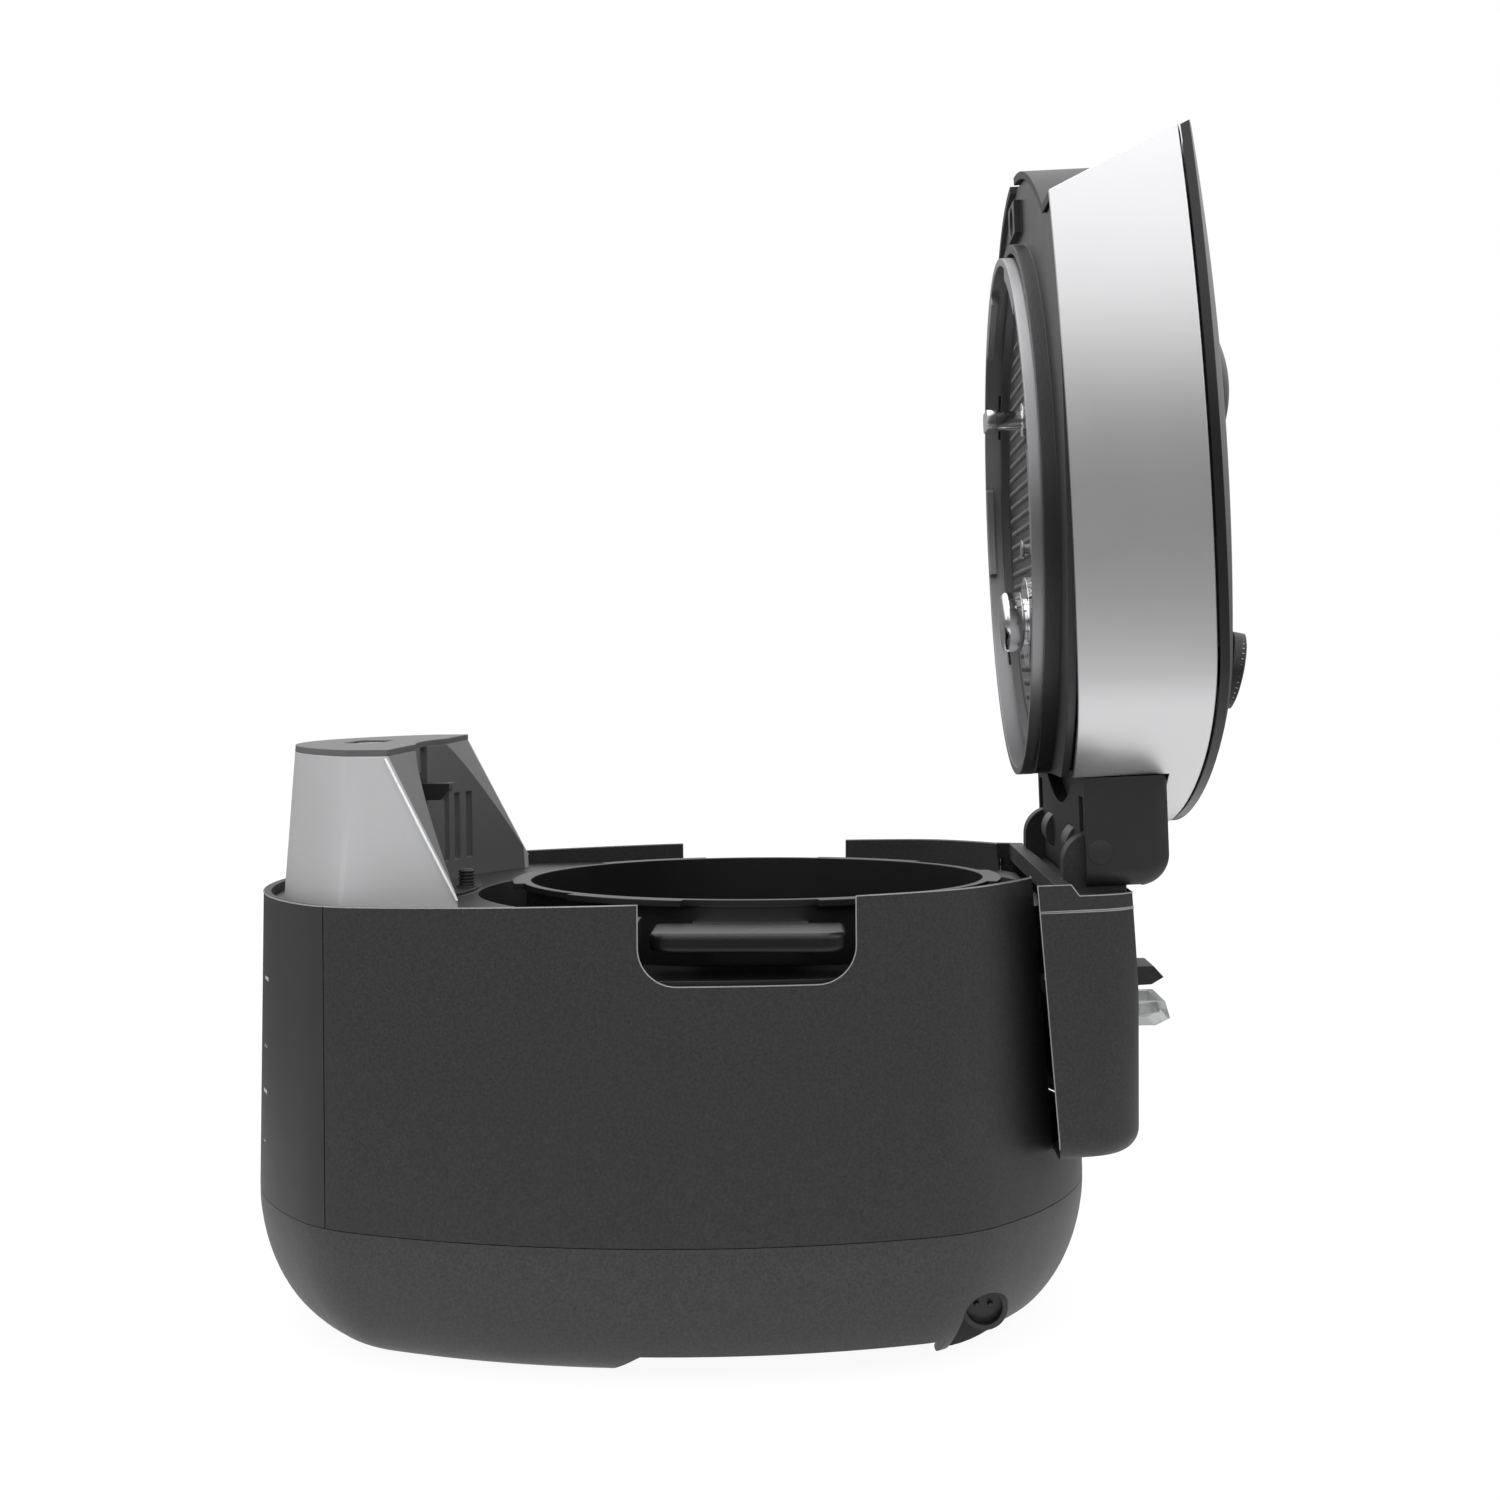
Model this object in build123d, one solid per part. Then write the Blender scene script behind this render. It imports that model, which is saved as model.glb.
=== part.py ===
from build123d import *
import math
import os

# Countertop pressure rice cooker, lid open as it stands. Millimetres, +Z up.
# The origin is the pot's axis on the table, the front faces -Y.

# Casing outline seen from above
front_reach = 208.0
rear_reach = 143.0
half_width = 147.0
widest_y = -8.0
front_corner_x = half_width - 30.0
front_corner_y = -front_reach + 46.0
rear_corner_x = half_width - 38.0
rear_corner_y = rear_reach - 29.0
front_corner_radius = 60.0
rear_corner_radius = 58.0

# Casing heights and walls; the rim rises gently to the rear
seam_height = 54.0
rim_height = 179.0
rim_slope = 0.0263
casing_draft = 1.5
casing_wall = 3.0
bowl_inset = 34.0
bowl_sections = 6
bowl_floor = 1.0
arch_height = 10.0
arch_start_y = -59.0
arch_ramp = 18.0
deck_height = 170.0
deck_thickness = 3.0
joint_gap = 0.3
contact_gap = 0.02
through = 400.0
panel_seam_y = -front_reach + 48.0

# Grip recesses in both sides
recess_half_width = 39.5
recess_floor = 148.4
recess_corner = 14.0

# Feet, casing screws and power inlet
foot_radius = 9.0
foot_taper = 1.5
front_foot_y = -front_reach + 58.0
front_foot_x = 62.0
rear_foot_y = 78.0
rear_foot_x = 70.0
casing_screw_radius = 3.0
casing_screw_places = ((-88, 40), (88, 40), (-45, 98), (45, 98))
inlet_y = rear_reach - 55.0
inlet_z = 19.0
inlet_radius = 9.0
inlet_face_x = half_width - 57.0
inlet_depth = 8.0
inlet_pin_pitch = 5.2
cord_lean = 7.0

# Front tower
tower_margin = 8.0
tower_half_width = 107.0
tower_top = 230.6
tower_draft = 5.0
tower_wall = 2.5
slant_low_y = -front_reach + 98.1
slant_low_z = 176.1
slant_high_y = -front_reach + 70.8
tower_back_y = -front_reach + 67.0
tower_back_radius = 200.0
cap_thickness = 2.5
lid_front_gap = 1.1
flute_radius = 3.0
flute_places = (38.0, 50.0, 62.0)
flute_top = tower_top - 22.0
channel_half_width = 9.0
channel_depth = 2.0

# Open button and latch
button_y = -front_reach + 44.0
button_length = 40.0
button_width = 15.0
button_skirt = 2.5
button_rise = 1.7
button_stem = 4.0
button_travel = 3.0
button_spring_x = 12.0
button_spring_radius = 3.2
button_seat_z = tower_top - 16.0
spring_wire = 1.2
hook_z = 212.0
hook_half_width = 6.0
hook_height = 7.0
hook_tip_y = -front_reach + 79.0
hook_nose = 4.0
hook_travel = 4.0
hook_clearance = 1.5
button_stem_low = hook_z + hook_height / 2 + button_travel + joint_gap

# Inner pot
pot_radius = 97.0
pot_wall = 2.0
pot_bottom = 30.0
pot_corner = 28.0
flange_radius = pot_radius + 1.6
lug_radius = pot_radius + 5.7
flange_top = 175.0
flange_thickness = 2.5
lug_count = 6
lug_angle = 30.0
grip_half_width = 36.0
grip_inner_x = half_width - 37.0
grip_outer_x = half_width - 4.0
grip_low = 160.0
grip_high = 167.5
grip_corner = 10.0
grip_round = 2.5
bracket_half_width = 22.0

# Opening in the deck and the latch's rubber post
opening_radius = pot_radius + 20.0
post_y = -opening_radius - 6.0
post_height = 9.0
post_radius = 4.6
pad_height = 1.5
pad_reach = 34.0

# Hinge
hinge_y = rear_reach - 9.5
hinge_z = 191.8
open_angle = 88.0
shaft_radius = 3.0
shaft_fit = 0.05
ear_inner_x = 72.0
ear_outer_x = 84.0
ear_radius = 12.0
ear_centre_y = hinge_y - 1.5
ear_centre_z = hinge_z - 4.8
ear_sweep = 21.5
ear_blind = 2.0

# Rear housing, hinge cover and dew collector
housing_front_y = hinge_y - 25.5
housing_front_x = 107.0
housing_front_lean = 0.084
housing_rear_y = hinge_y + 16.5
housing_rear_x = 92.0
housing_low = 75.0
housing_top = 176.2
housing_corner = 26.0
housing_bottom_round = 9.0
housing_lean_start = 130.0
housing_lean = 4.5
housing_seam_z = 170.4
seam_groove = 0.6
ridge_top = 180.5
ridge_rear_y = hinge_y - 12.5
mouth_depth = 7.0
collector_half_width = 45.0
collector_low = 100.0
collector_high = 124.0
collector_front_y = hinge_y - 12.5
collector_lip_y = hinge_y + 37.5
collector_lip_half_width = 18.0
collector_wall = 2.0
tab_half_width = 14.0
tab_low = 129.5
tab_high = 138.0
tab_tip_y = hinge_y + 35.5

# Heat liner, coil and temperature sensor
liner_gap = 2.5
liner_wall = 1.5
liner_top = 147.0
liner_flange_radius = pot_radius + 15.0
coil_inner = 28.0
coil_outer = 80.0
coil_thickness = 4.5
coil_turns = 7
coil_pitch = 7.0
coil_strand = 5.4
carrier_thickness = 2.5
ferrite_thickness = 2.5
ferrite_half_width = 6.0
cushion_radius = 5.0
cushion_circle = 48.0
sensor_radius = 15.0
sensor_travel = 3.0
liner_bottom = pot_bottom - liner_gap - liner_wall
coil_low = liner_bottom - joint_gap - coil_thickness
carrier_low = coil_low - carrier_thickness
ferrite_low = carrier_low - ferrite_thickness
sensor_high = pot_bottom - joint_gap
sensor_cap = 2.2

# Lid
lid_inset = 4.2
lid_low = 175.0
lid_gap = 1.0
lid_crown = 253.5
lid_crown_y = 10.0
lid_draft = 2.0
lid_depth = 95.0
crown_side_radius = 525.0
crown_mid_radius = 1150.0
crown_rear_radius = 150.0
crown_rear_y = 60.0
crown_tail_angle = 42.0
band_wall = 3.0
panel_thickness = 3.5
panel_shadow = 1.0
panel_margin = 0.8
block_half_width = 90.0
block_front_y = hinge_y - 28.5
block_rear_y = hinge_y + 14.0
block_low = 186.4
block_high = 219.0
block_corner = 12.0
block_edge = 8.0
block_bore_end = ear_inner_x - 1.0
spring_room = 9.0
spring_length = 20.0
spring_places = (-50.0, 30.0)

# Lock ring and inner lid
ring_radius = pot_radius + 10.0
ring_wall = 3.0
ring_low = 168.7
ring_high = 189.6
ring_play = 0.8
claw_radius = pot_radius + 2.8
claw_thickness = 3.2
claw_angle = 22.0
window_angle = 12.0
guard_radius = 112.0
guard_low = 173.0
cover_thickness = 3.0
cover_low = 178.5
cover_wall = 3.2
carrier_disc = 2.0
carrier_boss = 3.0
carrier_circle = 100.0
carrier_screw_angles = (-150, -90, -30, 20, 160)
screw_head_radius = 3.2
screw_shank_radius = 1.6
plate_radius = 90.5
plate_low = 178.0
plate_thickness = 1.5
gasket_radius = pot_radius + 5.0
gasket_height = 3.0
seat_gap = 0.3
strike_half_width = 13.0
strike_bore = 6.2

# Valves on the lid
knob_y = 65.0
knob_radius = 16.0
knob_tilt = 13.0
knob_sink = 2.5
knob_neck_radius = 9.0
knob_travel = 3.5
steam_hole_radius = 11.0
duct_radius = 8.0
dome_y = -50.0
dome_height = 9.0
dome_sphere_radius = 52.0
valve_y = 43.0
valve_radius = 12.5
valve_low = 165.0
stem_y = -41.0
stem_low = 161.5
stem_radius = 4.0
stem_bar_reach = 12.0
pin_x = 26.0
pin_y = 14.0
pin_radius = 2.2
pin_travel = 4.0

# Cooling fan and boards
fan_y = -front_reach + 58.0
fan_size = 60.0
fan_low = 24.0
fan_depth = 15.0
fan_hub_radius = 9.0
fan_pin_radius = 1.5
fan_blades = 7
board_z = 62.0
board_thickness = 1.6
board_half_width = 70.0
board_front = 32.0
board_rear = 22.0
post_radius_small = 3.5
fin_count = 8
fin_pitch = 5.43
sink_x = 22.0
sink_front = 26.0
sink_rear = 14.0
board_low = 84.0
board_high = 160.0
control_half_width = 48.0
control_y = -front_reach + 26.0

pieces = {}


def block(x0, x1, y0, y1, z0, z1):
    """A box between two corners."""
    centre = ((x0 + x1) / 2, (y0 + y1) / 2, (z0 + z1) / 2)
    return Pos(*centre) * Box(x1 - x0, y1 - y0, z1 - z0)


def drum(radius, z0, z1, x=0.0, y=0.0):
    """An upright cylinder."""
    return Pos(x, y, (z0 + z1) / 2) * Cylinder(radius, z1 - z0)


def tube(outer, inner, z0, z1, x=0.0, y=0.0):
    """An upright tube."""
    return drum(outer, z0, z1, x, y) - drum(inner, z0 - 1, z1 + 1, x, y)


def cross_pin(radius, x0, x1, y, z):
    """A cylinder that lies along X."""
    return Pos((x0 + x1) / 2, y, z) * Rot(0, 90, 0) * Cylinder(radius, x1 - x0)


def side_profile(points, half_length):
    """A prism along X from corners given as (y, z)."""
    face = make_face(Polyline([(0, y, z) for y, z in points], close=True))
    return extrude(face, half_length, dir=(1, 0, 0), both=True)


def spun(points):
    """A turned solid from corners given as (radius, z)."""
    return revolve(Plane.XZ * make_face(Polyline(points, close=True)), Axis.Z)


def vessel(radius, corner, wall, low, centre_hole, rim):
    """A turned pan with a rounded bottom corner; rim lists the corners from outside wall to inside."""
    section = make_face([
        Line((centre_hole, low), (radius - corner, low)),
        RadiusArc((radius - corner, low), (radius, low + corner), -corner),
        Polyline([(radius, low + corner)] + rim + [(radius - wall, low + corner)]),
        RadiusArc((radius - wall, low + corner), (radius - corner, low + wall), corner - wall),
        Polyline([(radius - corner, low + wall), (centre_hole, low + wall), (centre_hole, low)]),
    ])
    return revolve(Plane.XZ * section, Axis.Z)


def both_sides(shape):
    """A shape and its mirror image across the middle plane."""
    return shape + mirror(shape, Plane.YZ)


def disc_through(first, second, third, inset):
    """The disc of a circle through three points, smaller by an inset."""
    arc = ThreePointArc(first, second, third)
    return Pos(arc.arc_center.X, arc.arc_center.Y) * Circle(arc.radius - inset)


def plan(inset):
    """The casing outline from above, drawn in by an inset: four broad arcs with rounded corners."""
    front_left, front_right = (-front_corner_x, front_corner_y), (front_corner_x, front_corner_y)
    rear_left, rear_right = (-rear_corner_x, rear_corner_y), (rear_corner_x, rear_corner_y)
    face = disc_through(front_left, (0, -front_reach), front_right, inset)
    face &= disc_through(front_right, (half_width, widest_y), rear_right, inset)
    face &= disc_through(rear_right, (0, rear_reach), rear_left, inset)
    face &= disc_through(rear_left, (-half_width, widest_y), front_left, inset)
    face = fillet(face.vertices().group_by(Axis.Y)[0], front_corner_radius - inset)
    return fillet(face.vertices().group_by(Axis.Y)[-1], rear_corner_radius - inset)


def drafted(outline, inset, low, high, draft):
    """A prism from an outline function that draws in by a draft angle as it rises."""
    drawn_in = (high - low) * math.tan(math.radians(draft))
    return loft([Pos(0, 0, low) * outline(inset), Pos(0, 0, high) * outline(inset + drawn_in)], ruled=True)


def tower_plan(inset):
    """The tower's outline: the casing's, with flat sides."""
    return plan(rim_inset + tower_margin + inset) & Rectangle(2 * (tower_half_width - inset), 4 * front_reach)


def casing_inset(z):
    """How far the drafted casing has drawn in at a height."""
    return (z - seam_height) * math.tan(math.radians(casing_draft))


rim_inset = casing_inset(rim_height)


# Base bowl: rounded lower casing with an arched underside

def bowl_solid(inset, floor):
    """A rounded bowl up to the seam, whose wall follows a quarter of an ellipse."""
    top = seam_height - joint_gap
    reach = bowl_inset - inset
    sections = []
    for step in range(bowl_sections):
        turn = math.pi / 2 * step / (bowl_sections - 1)
        z = top - (top - floor) * math.cos(turn)
        sections.append(Pos(0, 0, z) * plan(inset + reach * (1 - math.sin(turn))))
    return loft(sections)


def underside(lift):
    """The space under the arch, raised by a lift."""
    ramp_end = arch_start_y + arch_ramp
    return side_profile([(arch_start_y - lift, lift - casing_wall), (ramp_end - lift, arch_height + lift),
                         (rear_reach, arch_height + lift), (rear_reach, lift - casing_wall)], half_width)


def inlet_scoop(grow):
    """The scoop for the power cord: a round-topped slot, open below."""
    back, front = inlet_face_x - grow, half_width + casing_wall
    radius = inlet_radius + grow
    slot = side_profile([(inlet_y - radius - cord_lean, 0), (inlet_y - radius, inlet_z),
                         (inlet_y + radius, inlet_z), (inlet_y + radius - cord_lean, 0)],
                        (front - back) / 2)
    return Pos((front + back) / 2, 0, 0) * slot + cross_pin(radius, back, front, inlet_y, inlet_z)


def round_places(circle, angles):
    """Points on a circle about the pot's axis."""
    return [(circle * math.cos(math.radians(a)), circle * math.sin(math.radians(a))) for a in angles]


def base_bowl():
    outer = bowl_solid(0, bowl_floor)
    inner = bowl_solid(casing_wall, bowl_floor + casing_wall)
    shell = outer - (inner - underside(casing_wall)) - underside(0)
    shell = shell + (inlet_scoop(casing_wall) & outer) - inlet_scoop(0)
    floor_top = bowl_floor + casing_wall
    for x in range(-24, 25, 8):
        shell -= block(x - 1.5, x + 1.5, fan_y - 20, fan_y + 20, -1, floor_top + 1)
    fan_bolt = fan_size / 2 - 4
    for x in (-fan_bolt, fan_bolt):
        for y in (-fan_bolt, fan_bolt):
            shell += tube(4.0, 1.2, floor_top, fan_low, x, fan_y + y)
    for x, y in round_places(coil_outer - 1, (20, 160)):
        shell += drum(post_radius_small, arch_height + 1, carrier_low, x, y)
    for x, y in round_places(coil_outer - 1, (-60, -120)):
        shell += drum(post_radius_small, bowl_floor + 1, carrier_low, x, y)
    board_posts = Compound(children=[drum(post_radius_small, bowl_floor + 1, board_z - contact_gap, x, fan_y + y)
                                     for x in (-64, 64) for y in (-22, 16)])
    inside = outer + block(-half_width, half_width, -front_reach, 0, seam_height - 1, board_z)
    return shell + (board_posts & inside)


def feet():
    pads = [drum(foot_radius, 0, bowl_floor, x, front_foot_y) for x in (-front_foot_x, front_foot_x)]
    for x in (-rear_foot_x, rear_foot_x):
        pads.append(Pos(x, rear_foot_y, 0) * Cone(foot_radius - foot_taper, foot_radius, arch_height,
                                                  align=(Align.CENTER, Align.CENTER, Align.MIN)))
    return Compound(children=pads)


def casing_screws():
    return Compound(children=[drum(casing_screw_radius, arch_height - 0.8, arch_height - contact_gap, x, y)
                              for x, y in casing_screw_places])


# Drafted side casing with its grip recesses, and the front panel cut from the same wall

def casing_wall_solid():
    top = rim_line(rear_reach)
    outer = drafted(plan, 0, seam_height, top, casing_draft)
    inner = drafted(plan, casing_wall, seam_height, top, casing_draft)
    return outer - inner - above_rim(0)


def grip_recess(half, floor, outside):
    """A side opening for the pot's grip, rounded at its lower corners."""
    cut = block(grip_inner_x - 8, outside, -half, half, floor, rim_height * 2)
    return fillet(cut.edges().filter_by(Axis.X).group_by(Axis.Z)[0], recess_corner)


def housing_front_at(z):
    """Where the leaning front of the rear housing stands at a height."""
    return housing_front_y + (ridge_top - z) * housing_front_lean


def behind_housing_front(gap, low, high):
    """Everything behind the rear housing's leaning front."""
    return side_profile([(housing_front_at(low) - gap, low), (rear_reach * 2, low),
                         (rear_reach * 2, high), (housing_front_at(high) - gap, high)], half_width * 2)


def side_casing(wall):
    shell = wall - block(-half_width * 2, half_width * 2, -front_reach * 2, panel_seam_y, 0, through)
    shell -= behind_housing_front(joint_gap, housing_low, rim_height + 30)
    return shell - both_sides(grip_recess(recess_half_width, recess_floor, half_width * 2))


def front_panel(wall):
    panel = wall & block(-half_width * 2, half_width * 2, -front_reach * 2, panel_seam_y - joint_gap, 0, through)
    inside = drafted(plan, casing_wall / 2, seam_height, board_high, casing_draft)
    for x in (-control_half_width + 10, control_half_width - 10):
        for z in (board_low + 8, board_high - 8):
            boss = Pos(x, control_y, z) * Rot(90, 0, 0) * Cylinder(
                post_radius_small, 30, align=(Align.CENTER, Align.CENTER, Align.MIN))
            panel += boss & inside
    return panel


# Upper frame: the deck round the pot, its throat and the grip channels

def upper_frame():
    inner_limit = rim_inset + casing_wall + joint_gap
    deck = Pos(0, 0, deck_height - deck_thickness) * extrude(plan(inner_limit), deck_thickness)
    shelf_top = liner_top + deck_thickness
    throat = tube(opening_radius + deck_thickness, opening_radius, shelf_top, deck_height)
    shelf = tube(opening_radius + deck_thickness, pot_radius + liner_gap + liner_wall + 1.5,
                 liner_top, shelf_top)
    channel_half = recess_half_width + 1.0
    channel_limit = Pos(0, 0, liner_top) * extrude(plan(inner_limit), deck_height - liner_top)
    channel = block(opening_radius - 8, half_width, -channel_half - deck_thickness,
                    channel_half + deck_thickness, liner_top, deck_height) & channel_limit
    channel_cut = block(opening_radius - 12, half_width * 2, -channel_half, channel_half, shelf_top, through)
    frame = deck - drum(opening_radius, 0, through) + throat + both_sides(channel)
    frame -= drum(opening_radius, shelf_top, through)
    frame = frame + shelf - both_sides(channel_cut)
    mouth_half = housing_front_x - 5
    frame -= block(-half_width, half_width, housing_front_y + mouth_depth, rear_reach * 2, 0, through)
    frame -= both_sides(block(mouth_half - contact_gap, half_width, housing_front_y - joint_gap,
                              rear_reach, 0, through))
    pad = Pos(0, post_y - 4, deck_height) * extrude(Ellipse(pad_reach, 9.0), pad_height)
    front_only = block(-pad_reach, pad_reach, -front_reach, -opening_radius, 0, through)
    return frame + (pad & front_only)


# Front tower: silver skin, dark liner with the latch window, cap and button

def tower_solid(inset, low):
    body = drafted(tower_plan, inset, low, tower_top, tower_draft)
    slope = (slant_high_y - slant_low_y) / (tower_top - slant_low_z)
    shift = inset / math.cos(math.atan(slope))
    low_y = slant_low_y + slope * (low - slant_low_z) - (shift if inset else 0)
    high_y = slant_high_y - (shift if inset else 0)
    return body & side_profile([(-front_reach * 2, low - 1), (low_y - slope, low - 1),
                                (high_y + slope, tower_top + 1), (-front_reach * 2, tower_top + 1)],
                               half_width)


def recess_drum(radius):
    centre_y = tower_back_y + tower_back_radius
    return drum(radius, 0, 400, 0, centre_y)


def tower_skin():
    skin = tower_solid(0, deck_height) - tower_solid_inner(tower_wall)
    skin -= recess_drum(tower_back_radius)
    return skin.solids().sort_by(SortBy.VOLUME)[-1]


def tower_solid_inner(inset):
    """The room inside the skin, open to the rear."""
    return drafted(tower_plan, inset, deck_height, tower_top, tower_draft)


def tower_liner():
    slope = (slant_high_y - slant_low_y) / (tower_top - slant_low_z)
    low_y = slant_low_y + slope * (deck_height - slant_low_z)
    wedge = side_profile([(-front_reach * 2, deck_height), (low_y, deck_height),
                          (slant_high_y, tower_top), (-front_reach * 2, tower_top)], half_width)
    solid = (tower_solid_inner(tower_wall + 0.02) & wedge) - recess_drum(tower_back_radius)
    room = tower_solid_inner(tower_wall * 2.2) & block(
        -half_width, half_width, -front_reach * 2, tower_back_y - 4.5, deck_height + 3, tower_top + 1)
    liner = solid - room
    window_half = hook_half_width + hook_clearance
    window = block(-window_half, window_half, tower_back_y - 12, tower_back_y + 40,
                   hook_z - hook_height - 4, hook_z + hook_height / 2 + 4)
    channel = recess_drum(tower_back_radius + channel_depth) & block(
        -channel_half_width, channel_half_width, -front_reach, 0, hook_z, tower_top)
    guide_low, guide_high = hook_z - hook_height / 2 - 4, hook_z - hook_height / 2 - joint_gap
    guide = block(-hook_half_width - 4, hook_half_width + 4, tower_back_y - 24, tower_back_y - 4,
                  guide_low, guide_high)
    seat = block(button_spring_x - 4, button_spring_x + 4, button_y - 5, button_y + 6,
                 guide_low, button_seat_z)
    centre_y = tower_back_y + tower_back_radius
    for x in flute_places:
        y = centre_y - math.sqrt(tower_back_radius ** 2 - x ** 2)
        liner -= both_sides(drum(flute_radius, deck_height + 9, flute_top, x, y))
    return liner - window - channel + guide + seat


def tower_cap():
    body = drafted(tower_plan, 0, deck_height, tower_top + cap_thickness, tower_draft)
    cap = body & block(-half_width, half_width, -front_reach * 2, slant_high_y, tower_top,
                       tower_top + cap_thickness)
    cap -= recess_drum(tower_back_radius)
    hole = button_plan(0.4)
    return cap - Pos(0, 0, tower_top - 1) * extrude(hole, cap_thickness * 3)


def button_plan(grow):
    return Pos(0, button_y) * SlotOverall(button_length + 2 * grow, button_width + 2 * grow)


def open_button():
    under = tower_top - button_skirt
    top = Pos(0, 0, under) * extrude(button_plan(0), cap_thickness + button_rise)
    top = fillet(top.edges().group_by(Axis.Z)[-1], 1.0)
    return top + block(-button_stem, button_stem, button_y - button_stem, button_y + button_stem,
                       button_stem_low, under)


def button_spring():
    return tube(button_spring_radius, button_spring_radius - spring_wire, button_seat_z + contact_gap,
                tower_top - button_skirt - joint_gap, button_spring_x, button_y)


def latch_hook():
    low, high = hook_z - hook_height / 2, hook_z + hook_height / 2
    body = block(-hook_half_width, hook_half_width, button_y - 2, hook_tip_y - hook_nose, low, high)
    nose = side_profile([(hook_tip_y - hook_nose, low), (hook_tip_y, hook_z + 1), (hook_tip_y, high),
                         (hook_tip_y - hook_nose, high)], hook_half_width)
    return body + nose


def latch_spring():
    start = button_y - 2 - joint_gap
    upper = drafted(tower_plan, tower_wall * 2.2 + joint_gap, deck_height, tower_top, tower_draft)
    rod = Rot(90, 0, 0) * Cylinder(2.8, 40, align=(Align.CENTER, Align.CENTER, Align.MIN))
    rod -= Rot(90, 0, 0) * Cylinder(1.8, 41, align=(Align.CENTER, Align.CENTER, Align.MIN))
    return Pos(0, start, hook_z) * rod & upper


def interlock_post():
    """A ribbed rubber cone."""
    low, rib = deck_height + pad_height, post_height / 4
    corners = [(0, low)]
    for step in range(3):
        base = low + step * rib * 0.9
        wide = post_radius - step * 0.9
        corners += [(wide, base), (wide, base + rib * 0.5), (wide - 0.9, base + rib * 0.8)]
    corners += [(1.6, low + post_height - 1.5), (0, low + post_height - 1.5)]
    return Pos(0, post_y, 0) * spun(corners)


# Rear housing with hinge ears, collector bay and tab

def housing_plan(inset):
    corners = [(-housing_front_x, housing_front_y), (housing_front_x, housing_front_y),
               (housing_rear_x, housing_rear_y), (-housing_rear_x, housing_rear_y)]
    face = make_face(Polyline(corners, close=True))
    face = fillet(face.vertices().group_by(Axis.Y)[-1], housing_corner)
    return offset(face, amount=-inset) if inset else face


def housing_body(inset, low, high):
    """The housing's outside, drawn in, with its leaning front and rear."""
    body = Pos(0, 0, low) * extrude(housing_plan(inset), high - low)
    lean_end = housing_rear_y - housing_lean - inset
    rear = housing_rear_y - inset
    body &= side_profile([(0, 0), (rear, 0), (rear, housing_lean_start), (lean_end, ridge_top),
                          (0, ridge_top)], half_width)
    return body & behind_housing_front(0, low, high)


def hinge_ear():
    """One ear with its blind bearing for the shaft."""
    half = (ear_outer_x - ear_inner_x) / 2
    front, rear = ear_centre_y - ear_radius, ear_centre_y + ear_radius
    ear = side_profile([(front, housing_top - 1), (front, ear_centre_z), (rear, ear_centre_z),
                        (rear, housing_top - 1)], half)
    ear = ear + cross_pin(ear_radius, -half, half, ear_centre_y, ear_centre_z)
    ear = Pos(ear_inner_x + half, 0, 0) * ear
    return ear - cross_pin(shaft_radius + contact_gap, ear_inner_x - 1, ear_outer_x - ear_blind,
                           hinge_y, hinge_z)


def collector_bay():
    """The walled bay that the dew collector slides into, and the room inside it."""
    half = collector_half_width + joint_gap
    low, high = collector_low - joint_gap, collector_high + joint_gap
    bay = block(-half - 2, half + 2, collector_front_y - 2, housing_rear_y - 1, low - 2, high + 3)
    room = block(-half, half, collector_front_y - joint_gap, housing_rear_y + 5, low, high)
    return bay, room


def rear_shell():
    """Housing and hinge cover in one, before they are parted at their seam."""
    outer = housing_body(0, housing_low, housing_top)
    rear_low = outer.edges().group_by(Axis.Z)[0].filter_by(
        lambda edge: edge.center().Y > housing_front_y + mouth_depth + 8)
    outer = fillet(rear_low, housing_bottom_round)
    inner_low, inner_high = housing_low + casing_wall, housing_top - casing_wall
    room = housing_body(casing_wall, inner_low, inner_high)
    room += Pos(0, -2 * mouth_depth, 0) * room
    mouth_half = housing_front_x - 5
    mouth = block(-mouth_half, mouth_half, 0, housing_front_y + mouth_depth, housing_low - 1, through)
    ridge = housing_body(0, housing_top - casing_wall, ridge_top) & side_profile(
        [(0, housing_top - 1), (ridge_rear_y + 4, housing_top - 1), (ridge_rear_y, ridge_top), (0, ridge_top)],
        half_width)
    shell = outer + ridge - room - mouth
    tray = extrude(plan(-joint_gap), housing_low + casing_wall + 1) & block(
        -half_width, half_width, 0, rear_reach + 2, housing_low - 1, through)
    shell = shell - tray + both_sides(hinge_ear())
    bay, bay_room = collector_bay()
    tab = side_profile([(housing_rear_y - 2, tab_low), (tab_tip_y - 5, tab_low + 1), (tab_tip_y, tab_low + 4),
                        (tab_tip_y - 4, tab_high), (housing_rear_y - 2, tab_high)], tab_half_width)
    groove = block(-half_width, half_width, 0, rear_reach * 2, housing_seam_z - seam_groove / 2,
                   housing_seam_z + seam_groove / 2) - housing_body(seam_groove, housing_low, housing_top)
    return shell + bay - bay_room + tab - groove


def rear_housing(shell):
    return shell & block(-half_width, half_width, 0, rear_reach * 2, 0, housing_seam_z)


def hinge_cover(shell):
    return shell & block(-half_width, half_width, 0, rear_reach * 2, housing_seam_z + contact_gap, through)


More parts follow.
